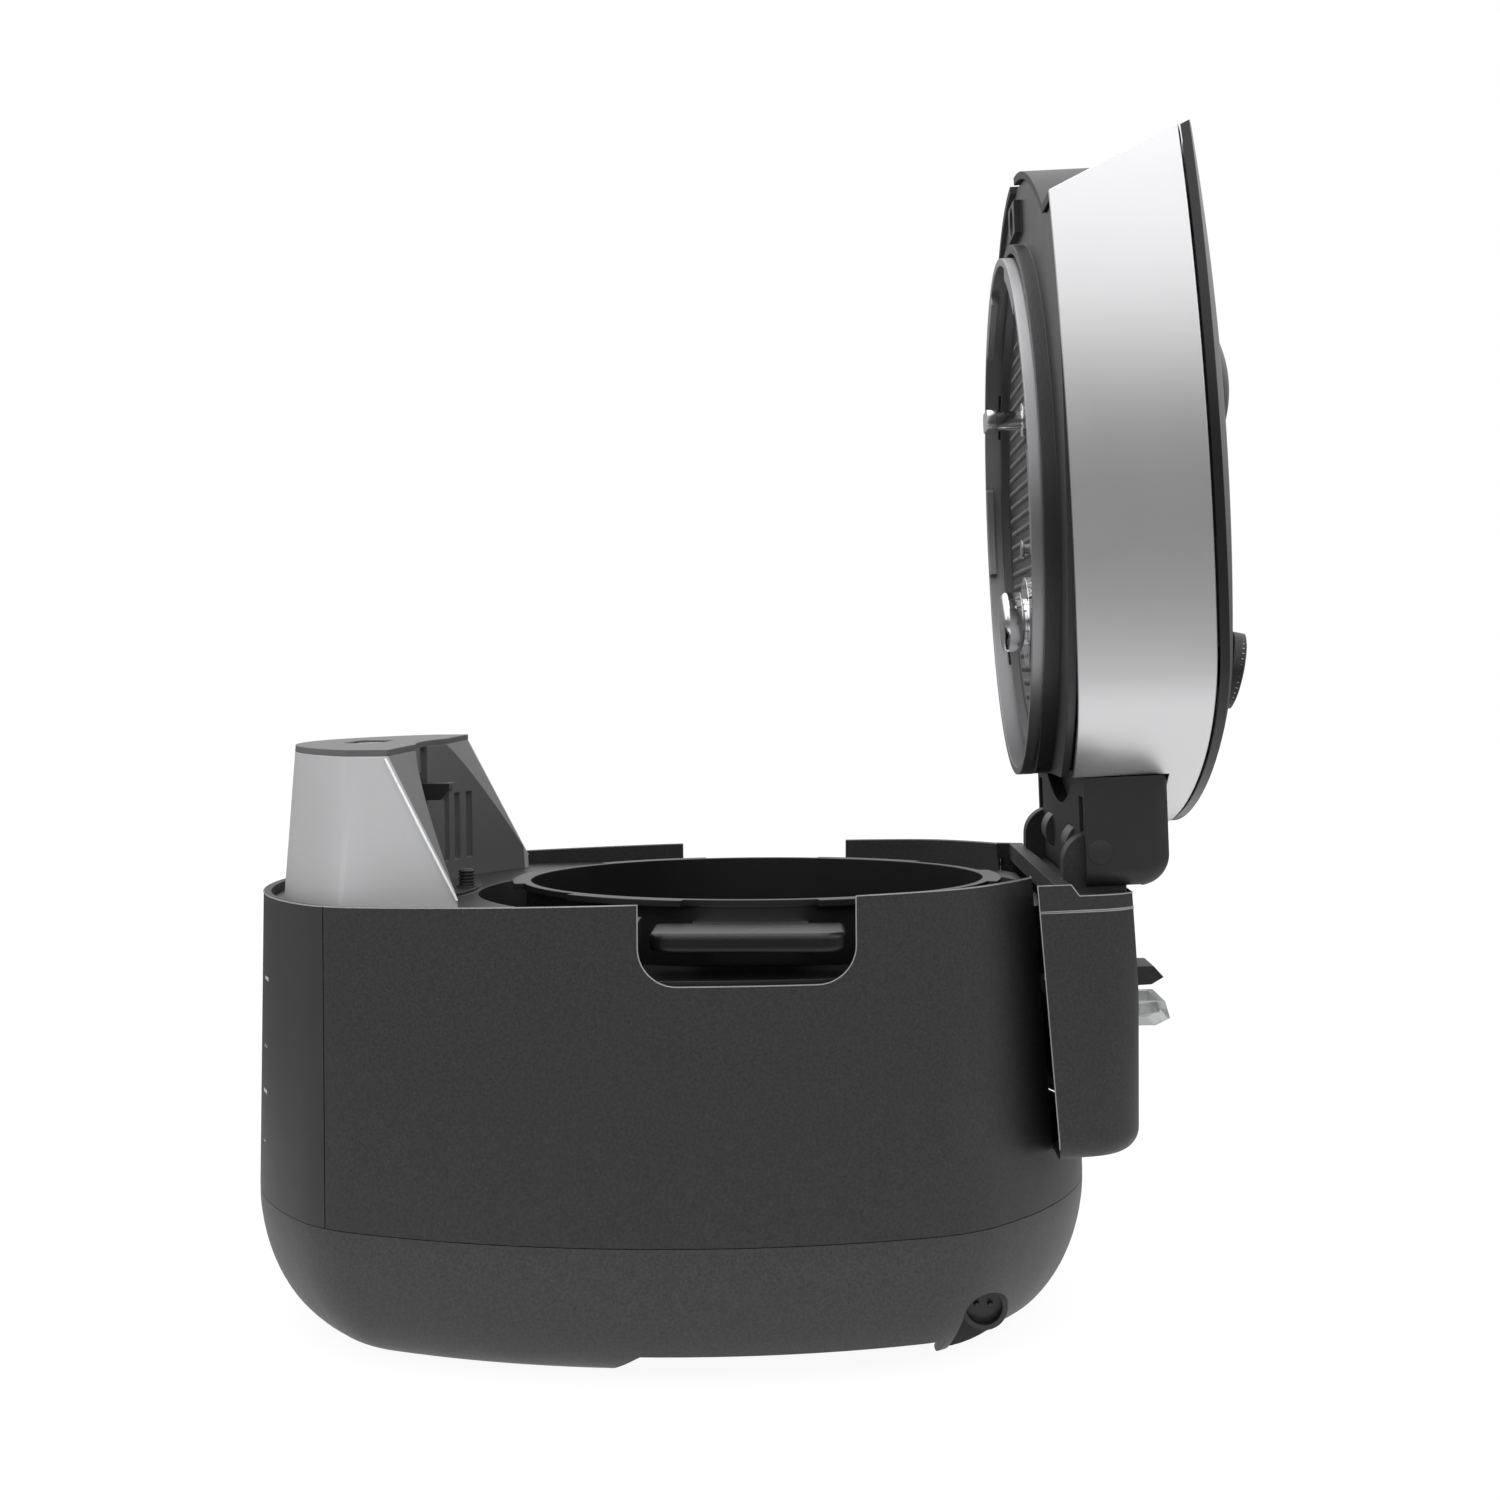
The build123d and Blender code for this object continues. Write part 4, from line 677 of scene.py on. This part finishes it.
@dataclass
class PlateDimples:
    """The pressed dimples on the inner plate, in a staggered grid within a circle."""

    pitch: float = 6.0 * MM
    dimple: float = 1.7 * MM
    flatness: float = 0.25
    reach: float = 84.0 * MM
    plate_z: float = 178.0 * MM
    rows: int = 30
    segments: int = 10
    rings: int = 6

    def staggered(self, recipe: Recipe) -> bpy.types.NodeSocket:
        """Lay out the grid, with every second row moved by half a pitch.

        Args:
            recipe: The recipe it is part of.

        Returns:
            The socket of the grid's points within the circle.
        """
        pitch = recipe.number("Pitch", self.pitch)
        reach = recipe.number("Reach", self.reach)
        rows = recipe.number("Rows", self.rows, whole=True)
        grid = recipe.add("GeometryNodeMeshGrid")
        span = recipe.maths("MULTIPLY", recipe.maths("SUBTRACT", rows, 1), pitch)
        for side in ("X", "Y"):
            recipe.link(span, grid.inputs["Size " + side])
            recipe.link(rows, grid.inputs["Vertices " + side])
        index = recipe.add("GeometryNodeInputIndex")
        odd = recipe.maths("MODULO", index.outputs[0], 2)
        shift = recipe.add("ShaderNodeCombineXYZ")
        half_pitch = recipe.maths("MULTIPLY", pitch, 0.5)
        recipe.link(recipe.maths("MULTIPLY", odd, half_pitch), shift.inputs["X"])
        stagger = recipe.add("GeometryNodeSetPosition")
        recipe.link(grid.outputs["Mesh"], stagger.inputs["Geometry"])
        recipe.link(shift.outputs[0], stagger.inputs["Offset"])
        place = recipe.add("GeometryNodeInputPosition")
        length = recipe.add("ShaderNodeVectorMath", operation="LENGTH")
        outside = recipe.add("FunctionNodeCompare", operation="GREATER_THAN")
        recipe.link(place.outputs[0], length.inputs[0])
        recipe.link(length.outputs["Value"], outside.inputs["A"])
        recipe.link(reach, outside.inputs["B"])
        kept = recipe.add("GeometryNodeDeleteGeometry", domain="POINT")
        recipe.link(stagger.outputs[0], kept.inputs["Geometry"])
        recipe.link(outside.outputs["Result"], kept.inputs["Selection"])
        return kept.outputs[0]

    def build(self) -> bpy.types.Object:
        """Build the dimples on the open lid.

        Returns:
            The finished piece.
        """
        recipe = Recipe("PlateDimples")
        size = recipe.number("Dimple Radius", self.dimple)
        ball = recipe.add("GeometryNodeMeshUVSphere")
        ball.inputs["Segments"].default_value = self.segments
        ball.inputs["Rings"].default_value = self.rings
        recipe.link(size, ball.inputs["Radius"])
        smooth = recipe.add("GeometryNodeSetShadeSmooth")
        recipe.link(ball.outputs["Mesh"], smooth.inputs["Geometry"])
        spread = recipe.add("GeometryNodeInstanceOnPoints")
        spread.inputs["Scale"].default_value = (1.0, 1.0, self.flatness)
        recipe.link(self.staggered(recipe), spread.inputs["Points"])
        recipe.link(smooth.outputs[0], spread.inputs["Instance"])
        piece = recipe.bake(spread.outputs[0], DIMPLE)
        piece.data.transform(opening_matrix() @ Matrix.Translation((0.0, 0.0, self.plate_z)))
        return settle(piece, DIMPLE, Body.LID)


@dataclass
class RadialSlots:
    """A ring of thin black bars laid on a surface, as vents in a cap; their black is painted shade for the
    openings.
    """

    name: str
    body: Body
    count: int
    circle: float
    length: float
    width: float
    depth: float

    def build(self, place: Matrix) -> bpy.types.Object:
        """Build the slots.

        Args:
            place: Where the ring's centre lies and which way it faces.

        Returns:
            The finished piece.
        """
        recipe = Recipe(self.name)
        count = recipe.number("Count", self.count, whole=True)
        circle = recipe.number("Circle", self.circle)
        ring = recipe.add("GeometryNodeMeshCircle")
        recipe.link(count, ring.inputs["Vertices"])
        recipe.link(circle, ring.inputs["Radius"])
        bar = recipe.add("GeometryNodeMeshCube")
        bar.inputs["Size"].default_value = (self.length, self.width, self.depth)
        index = recipe.add("GeometryNodeInputIndex")
        step = recipe.maths("DIVIDE", 2.0 * math.pi, count)
        turn = recipe.add("ShaderNodeCombineXYZ")
        recipe.link(recipe.maths("MULTIPLY", index.outputs[0], step), turn.inputs["Z"])
        spread = recipe.add("GeometryNodeInstanceOnPoints")
        recipe.link(ring.outputs["Mesh"], spread.inputs["Points"])
        recipe.link(bar.outputs["Mesh"], spread.inputs["Instance"])
        recipe.link(turn.outputs[0], spread.inputs["Rotation"])
        piece = recipe.bake(spread.outputs[0], SLOT_SHADE_BLACK)
        piece.data.transform(place)
        return settle(piece, SLOT_SHADE_BLACK, self.body)


@dataclass
class EdgeTrim:
    """Thin bright trims, each swept between two points."""

    name: str
    body: Body
    points: tuple[Point, ...]
    radius: float = 0.55 * MM
    sides: int = 10

    def build(self) -> bpy.types.Object:
        """Sweep a round profile along each span.

        Returns:
            The finished piece.
        """
        recipe = Recipe(self.name)
        radius = recipe.number("Radius", self.radius)
        joined = recipe.add("GeometryNodeJoinGeometry")
        ring = recipe.add("GeometryNodeCurvePrimitiveCircle")
        ring.inputs["Resolution"].default_value = self.sides
        recipe.link(radius, ring.inputs["Radius"])
        for start, end in zip(self.points[0::2], self.points[1::2]):
            span = recipe.add("GeometryNodeCurvePrimitiveLine")
            span.inputs["Start"].default_value = start
            span.inputs["End"].default_value = end
            rod = recipe.add("GeometryNodeCurveToMesh")
            rod.inputs["Fill Caps"].default_value = True
            recipe.link(span.outputs["Curve"], rod.inputs["Curve"])
            recipe.link(ring.outputs["Curve"], rod.inputs["Profile Curve"])
            recipe.link(rod.outputs["Mesh"], joined.inputs["Geometry"])
        return settle(recipe.bake(joined.outputs[0], TRIM_SILVER), TRIM_SILVER, self.body)


@dataclass
class EdgeBead:
    """A fine bead along the outer edges of a moulding, much lighter than the moulding: a painted highlight on
    its chamfered edge.

    Attributes:
        name: Name of the piece.
        node: The CAD node whose edges it follows.
        lowest: Height below which edges stay plain.
        seam_y: In front of this, upright edges stay plain, as they are seams.
        rear_y: Behind this, edges below rear_rim_z stay plain.
        rear_rim_z: Height from which the rear edges have a bead.
        radius: The bead's radius.
        sides: How many sides the bead has.
        sharpness: Least angle of an edge that has a bead.
        steepness: Rise over length from which an edge counts as upright.
        outward: Least share of a wall's normal that points away from the middle.
        leaning: Largest share of a wall's normal that points up or down.
        weld: Distance within which the node's corners are one.
    """

    name: str
    node: str
    lowest: float = 0.0
    seam_y: float = -150.0 * MM
    rear_y: float = 200.0 * MM
    rear_rim_z: float = 165.0 * MM
    radius: float = 0.26 * MM
    sides: int = 6
    sharpness: float = math.radians(35.0)
    steepness: float = 0.5
    outward: float = 0.6
    leaning: float = 0.4
    weld: float = 0.01 * MM

    def is_outer(self, edge: bmesh.types.BMEdge) -> bool:
        """Tell whether an edge lies between the outer wall and another face.

        Args:
            edge: An edge of the node's welded mesh.

        Returns:
            True if it has a bead.
        """
        if len(edge.link_faces) != 2 or edge.calc_face_angle(0.0) < self.sharpness:
            return False
        middle = (edge.verts[0].co + edge.verts[1].co) / 2.0
        rise = abs(edge.verts[0].co.z - edge.verts[1].co.z)
        if middle.y < self.seam_y and rise > edge.calc_length() * self.steepness:
            return False
        if middle.y > self.rear_y and middle.z < self.rear_rim_z:
            return False
        radial = Vector((middle.x, middle.y, 0.0)).normalized()
        outer = [face.normal.dot(radial) > self.outward and abs(face.normal.z) < self.leaning
                 for face in edge.link_faces]
        return middle.z > self.lowest and outer[0] != outer[1]

    def edges(self) -> bpy.types.Mesh:
        """Copy the outer edges out of the node's mesh.

        Returns:
            A mesh of edges alone.
        """
        shape = bmesh.new()
        shape.from_mesh(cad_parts[self.node].data)
        bmesh.ops.remove_doubles(shape, verts=shape.verts, dist=self.weld)
        inner = [edge for edge in shape.edges if not self.is_outer(edge)]
        bmesh.ops.delete(shape, geom=shape.faces[:], context="FACES_ONLY")
        bmesh.ops.delete(shape, geom=inner, context="EDGES")
        loose = [vert for vert in shape.verts if not vert.link_edges]
        bmesh.ops.delete(shape, geom=loose, context="VERTS")
        data = bpy.data.meshes.new(self.name + "Edges")
        shape.to_mesh(data)
        shape.free()
        return data

    def build(self) -> bpy.types.Object:
        """Sweep a round bead along the edges.

        Returns:
            The finished piece.
        """
        recipe = Recipe(self.name, self.edges())
        radius = recipe.number("Radius", self.radius)
        line = recipe.add("GeometryNodeMeshToCurve")
        ring = recipe.add("GeometryNodeCurvePrimitiveCircle")
        ring.inputs["Resolution"].default_value = self.sides
        bead = recipe.add("GeometryNodeCurveToMesh")
        bead.inputs["Fill Caps"].default_value = True
        smooth = recipe.add("GeometryNodeSetShadeSmooth")
        recipe.link(recipe.start.outputs["Source"], line.inputs["Mesh"])
        recipe.link(radius, ring.inputs["Radius"])
        recipe.link(line.outputs[0], bead.inputs["Curve"])
        recipe.link(ring.outputs["Curve"], bead.inputs["Profile Curve"])
        recipe.link(bead.outputs[0], smooth.inputs["Geometry"])
        return settle(recipe.bake(smooth.outputs[0], EDGE_HIGHLIGHT_GREY), EDGE_HIGHLIGHT_GREY, Body.BASE)


@dataclass
class Turning:
    """A turned piece: a half profile, in millimetres, spun about its own axis."""

    name: str
    body: Body
    finish: Finish
    profile: Pairs
    steps: int = 40

    def build(self, place: Matrix) -> bpy.types.Object:
        """Spin the profile and set it in place.

        Args:
            place: Where its axis stands.

        Returns:
            The finished piece.
        """
        shape = bmesh.new()
        line = [shape.verts.new((radius * MM, 0.0, height * MM)) for radius, height in self.profile]
        wire = [shape.edges.new(pair) for pair in zip(line, line[1:])]
        bmesh.ops.spin(shape, geom=line + wire, cent=(0, 0, 0), axis=(0, 0, 1), angle=2.0 * math.pi,
                       steps=self.steps, use_merge=True)
        bmesh.ops.transform(shape, matrix=place, verts=shape.verts)
        return settle(mesh_piece(self.name, shape), self.finish, self.body)


@dataclass
class LidFittings:
    """The dimples of the inner plate, the valve's holes, and the steam knob's vents and trim."""

    knob_centre: Point = (0.0, 65.0 * MM, 251.0 * MM)
    knob_tilt: float = math.radians(13.0)
    knob_top: float = 12.3 * MM
    valve_place: Point = (0.0, 43.0 * MM, 175.0 * MM)
    dimples: PlateDimples = field(default_factory=PlateDimples)
    knob_vents: RadialSlots = field(default_factory=lambda: RadialSlots(
        "KnobVents", Body.KNOB, count=8, circle=8.0 * MM, length=5.0 * MM, width=1.2 * MM, depth=0.3 * MM))
    valve_holes: RadialSlots = field(default_factory=lambda: RadialSlots(
        "ValveHoles", Body.LID, count=10, circle=15.2 * MM, length=1.6 * MM, width=1.6 * MM,
        depth=0.2 * MM))
    knob_trim: Turning = field(default_factory=lambda: Turning(
        "KnobTrim", Body.KNOB, CHROME,
        ((13.2, -1.4), (13.4, -0.5), (14.6, -0.3), (15.6, -0.7), (16.0, -1.6), (16.0, -2.4))))

    def knob_face(self) -> Matrix:
        """Find where the knob's face lies on the open lid.

        Returns:
            The face's place and lean.
        """
        lean = Matrix.Rotation(-self.knob_tilt, 4, "X")
        rise = Matrix.Translation((0.0, 0.0, self.knob_top))
        return opening_matrix() @ Matrix.Translation(self.knob_centre) @ lean @ rise

    def build(self) -> None:
        """Build the fittings on the open lid."""
        self.dimples.build()
        self.knob_vents.build(self.knob_face())
        self.valve_holes.build(opening_matrix() @ Matrix.Translation(self.valve_place))
        self.knob_trim.build(self.knob_face())


@dataclass
class Tower:
    """The bright trims on the tower's slanted edges."""

    low: Point = (106.8 * MM, -110.5 * MM, 176.0 * MM)
    high: Point = (102.3 * MM, -137.8 * MM, 229.8 * MM)

    def build(self) -> None:
        """Build one trim on each side."""
        ends = (self.low, self.high)
        mirrored = tuple((-x, y, z) for x, y, z in ends)
        EdgeTrim("TowerTrims", Body.BASE, ends + mirrored).build()


@dataclass
class HingeCaps:
    """Plain caps that close the hinge block's two shaft holes."""

    half_width: float = 90.0 * MM
    profile: Pairs = ((0.0, 0.35), (4.4, 0.35), (4.8, 0.15), (4.8, -0.4))

    def build(self) -> None:
        """Build one cap on each side."""
        for side, name in ((1.0, "HingeCapRight"), (-1.0, "HingeCapLeft")):
            turn = Matrix.Rotation(side * math.pi / 2.0, 4, "Y")
            place = Matrix.Translation((side * self.half_width, HINGE_Y, HINGE_Z)) @ turn
            Turning(name, Body.LID, DARK_GREY, self.profile).build(place)


@dataclass
class InterlockPost:
    """The ribbed rubber post in front of the pot; all but its place is in millimetres."""

    place: Point = (0.0, -123.0 * MM, 171.5 * MM)
    foot_radius: float = 4.5
    foot_height: float = 0.4
    radius: float = 3.4
    groove: float = 2.8
    first_rib: float = 0.5
    rib: float = 1.35
    ribs: int = 5
    rib_low: float = 0.25
    rib_high: float = 0.9
    rib_end: float = 1.1
    top: float = 7.5
    top_inset: float = 0.4

    def build(self) -> None:
        """Build the post in place of the plain node."""
        profile = [(self.foot_radius, 0.0), (self.foot_radius, self.foot_height)]
        for index in range(self.ribs):
            low = self.first_rib + index * self.rib
            profile += [(self.groove, low), (self.radius, low + self.rib_low),
                        (self.radius, low + self.rib_high), (self.groove, low + self.rib_end)]
        profile += [(self.groove - self.top_inset, self.top), (0.0, self.top)]
        turning = Turning("InterlockPostRibs", Body.BASE, RUBBER, tuple(profile))
        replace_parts(turning.build(Matrix.Translation(self.place)), "interlock_post")


class Glyph(Enum):
    """Plain marks on the control panel."""

    RING = "ring"
    BAR = "bar"
    PLUS = "plus"
    MINUS = "minus"
    DOTS = "dots"


@dataclass
class ControlPanel:
    """The display window and the printed key marks, laid on the curved front panel."""

    window_size: tuple[float, float] = (76.0 * MM, 30.0 * MM)
    window_z: float = 132.0 * MM
    window_lift: float = 0.024 * MM
    window_steps: int = 24
    mark_lift: float = 0.04 * MM
    stroke: float = 0.5 * MM
    sign_length: float = 5.0 * MM
    ring_radius: float = 2.6 * MM
    ring_steps: int = 20
    bar_size: tuple[float, float] = (8.0 * MM, 1.4 * MM)
    dot_size: float = 1.1 * MM
    dot_pitch: float = 2.4 * MM
    key_x: float = 62.0 * MM
    key_rows: tuple[tuple[float, Glyph], ...] = (
        (141.0 * MM, Glyph.BAR), (114.0 * MM, Glyph.DOTS), (96.0 * MM, Glyph.BAR), (76.0 * MM, Glyph.MINUS))
    foot_row_z: float = 92.0 * MM
    foot_row: tuple[tuple[float, Glyph], ...] = (
        (-36.0 * MM, Glyph.MINUS), (-12.0 * MM, Glyph.RING), (12.0 * MM, Glyph.RING), (36.0 * MM, Glyph.PLUS))
    dash_size: tuple[float, float] = (6.0 * MM, 0.8 * MM)
    dash_pitch: float = 12.0 * MM
    dashes_beside: int = 2
    dash_rise: float = 8.0 * MM
    ray_start_y: float = -1.0
    surface: BVHTree = field(init=False)

    def __post_init__(self) -> None:
        """Take the panel's surface, which everything is laid on."""
        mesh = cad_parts["front_panel"].data
        corners = [vertex.co.copy() for vertex in mesh.vertices]
        self.surface = BVHTree.FromPolygons(corners, [tuple(face.vertices) for face in mesh.polygons])

    def land(self, x: float, z: float, lift: float) -> Vector:
        """Find the point on the panel's outside at a place seen from the front.

        Args:
            x: The place across the panel.
            z: Its height.
            lift: How far the point stands off.

        Returns:
            The point in space.
        """
        start = Vector((x, self.ray_start_y, z))
        hit, normal, _, _ = self.surface.ray_cast(start, Vector((0.0, 1.0, 0.0)))
        if hit is None:
            return Vector((x, 0.0, z))
        outward = normal if normal.y < 0.0 else -normal
        return hit + outward * lift

    def patch(self, shape: bmesh.types.BMesh, x: float, z: float, width: float, height: float,
              lift: float, steps: int) -> None:
        """Lay one rectangle on the panel.

        Args:
            shape: The mesh it is added to.
            x: Its middle across the panel.
            z: Its middle height.
            width: Its width.
            height: Its height.
            lift: How far it stands off.
            steps: How many strips it is cut into, so that it follows the curve.
        """
        columns = []
        for step in range(steps + 1):
            across = x + width * (step / steps - 0.5)
            ends = [self.land(across, z + height * side, lift) for side in (-0.5, 0.5)]
            columns.append([shape.verts.new(end) for end in ends])
        for left, right in zip(columns, columns[1:]):
            shape.faces.new((left[0], right[0], right[1], left[1]))

    def ring(self, shape: bmesh.types.BMesh, x: float, z: float) -> None:
        """Lay one ring on the panel.

        Args:
            shape: The mesh it is added to.
            x: Its middle across the panel.
            z: Its middle height.
        """
        inner, outer = [], []
        for step in range(self.ring_steps):
            turn = 2.0 * math.pi * step / self.ring_steps
            for loop, reach in ((inner, self.ring_radius - self.stroke), (outer, self.ring_radius)):
                spot = self.land(x + reach * math.cos(turn), z + reach * math.sin(turn), self.mark_lift)
                loop.append(shape.verts.new(spot))
        for step in range(self.ring_steps):
            after = (step + 1) % self.ring_steps
            shape.faces.new((inner[step], outer[step], outer[after], inner[after]))

    def glyph(self, shape: bmesh.types.BMesh, kind: Glyph, x: float, z: float) -> None:
        """Lay one key mark.

        Args:
            shape: The mesh it is added to.
            kind: Which mark it is.
            x: Its middle across the panel.
            z: Its middle height.
        """
        lift = self.mark_lift
        if kind is Glyph.RING:
            self.ring(shape, x, z)
        if kind in (Glyph.MINUS, Glyph.PLUS):
            self.patch(shape, x, z, self.sign_length, self.stroke, lift, steps=3)
        if kind is Glyph.PLUS:
            self.patch(shape, x, z, self.stroke, self.sign_length, lift, steps=1)
        if kind is Glyph.BAR:
            self.patch(shape, x, z, *self.bar_size, lift, steps=4)
        if kind is Glyph.DOTS:
            for step in (-1, 0, 1):
                self.patch(shape, x + step * self.dot_pitch, z, self.dot_size, self.dot_size, lift, steps=1)

    def build(self) -> None:
        """Build the window, the dashes in it and all marks."""
        window = bmesh.new()
        self.patch(window, 0.0, self.window_z, *self.window_size, self.window_lift, self.window_steps)
        settle(mesh_piece("DisplayWindow", window), WINDOW, Body.BASE)
        marks = bmesh.new()
        for side in (-1.0, 1.0):
            for z, kind in self.key_rows:
                self.glyph(marks, kind, side * self.key_x, z)
        for x, kind in self.foot_row:
            self.glyph(marks, kind, x, self.foot_row_z)
        for step in range(-self.dashes_beside, self.dashes_beside + 1):
            self.patch(marks, step * self.dash_pitch, self.window_z + self.dash_rise, *self.dash_size,
                       self.mark_lift, steps=2)
        settle(mesh_piece("PanelMarks", marks), MARK, Body.BASE)


@dataclass
class LevelMarks:
    """Water-level dashes printed inside the pot, long and short in turn."""

    radius: float = 94.92 * MM
    lowest: float = 62.0 * MM
    step: float = 15.0 * MM
    count: int = 6
    scales: tuple[float, ...] = (math.radians(180.0), math.radians(100.0))
    half_angle: float = math.radians(5.0)
    short_share: float = 0.55
    stroke: float = 0.7 * MM
    facets: int = 8

    def dash(self, shape: bmesh.types.BMesh, middle: float, half: float, z: float) -> None:
        """Lay one curved dash on the pot's wall.

        Args:
            shape: The mesh it is added to.
            middle: The direction of its middle from the pot's axis.
            half: Half the angle it spans.
            z: Its height.
        """
        columns = []
        for facet in range(self.facets + 1):
            turn = middle + half * (2.0 * facet / self.facets - 1.0)
            x, y = self.radius * math.cos(turn), self.radius * math.sin(turn)
            columns.append([shape.verts.new((x, y, z + side * self.stroke)) for side in (-0.5, 0.5)])
        for left, right in zip(columns, columns[1:]):
            shape.faces.new((left[0], left[1], right[1], right[0]))

    def build(self) -> bpy.types.Object:
        """Build two scales of dashes.

        Returns:
            The finished piece.
        """
        shape = bmesh.new()
        for middle in self.scales:
            for index in range(self.count):
                share = 1.0 if index % 2 == 0 else self.short_share
                self.dash(shape, middle, self.half_angle * share, self.lowest + self.step * index)
        return settle(mesh_piece("LevelMarks", shape), MARK, Body.POT)


EDGE_BEADS: tuple[EdgeBead, ...] = (
    EdgeBead("CasingEdge", "side_casing", lowest=100.0 * MM, rear_y=60.0 * MM),
    EdgeBead("PanelEdge", "front_panel", lowest=100.0 * MM),
    EdgeBead("HousingEdge", "rear_housing"),
    EdgeBead("HingeCoverEdge", "hinge_cover"),
)


def dress_all() -> None:
    """Give every CAD node its finish."""
    for name, finish in NODE_FINISHES.items():
        dress_node(name, finish)
    LOG.info("dressed %d nodes", len(NODE_FINISHES))


def main() -> None:
    """Build the scene piece by piece."""
    logging.basicConfig(level=logging.INFO)
    Studio().build()
    dress_all()
    LidFittings().build()
    Tower().build()
    HingeCaps().build()
    InterlockPost().build()
    for bead in EDGE_BEADS:
        bead.build()
    ControlPanel().build()
    LevelMarks().build()


if __name__ == "__main__":
    main()
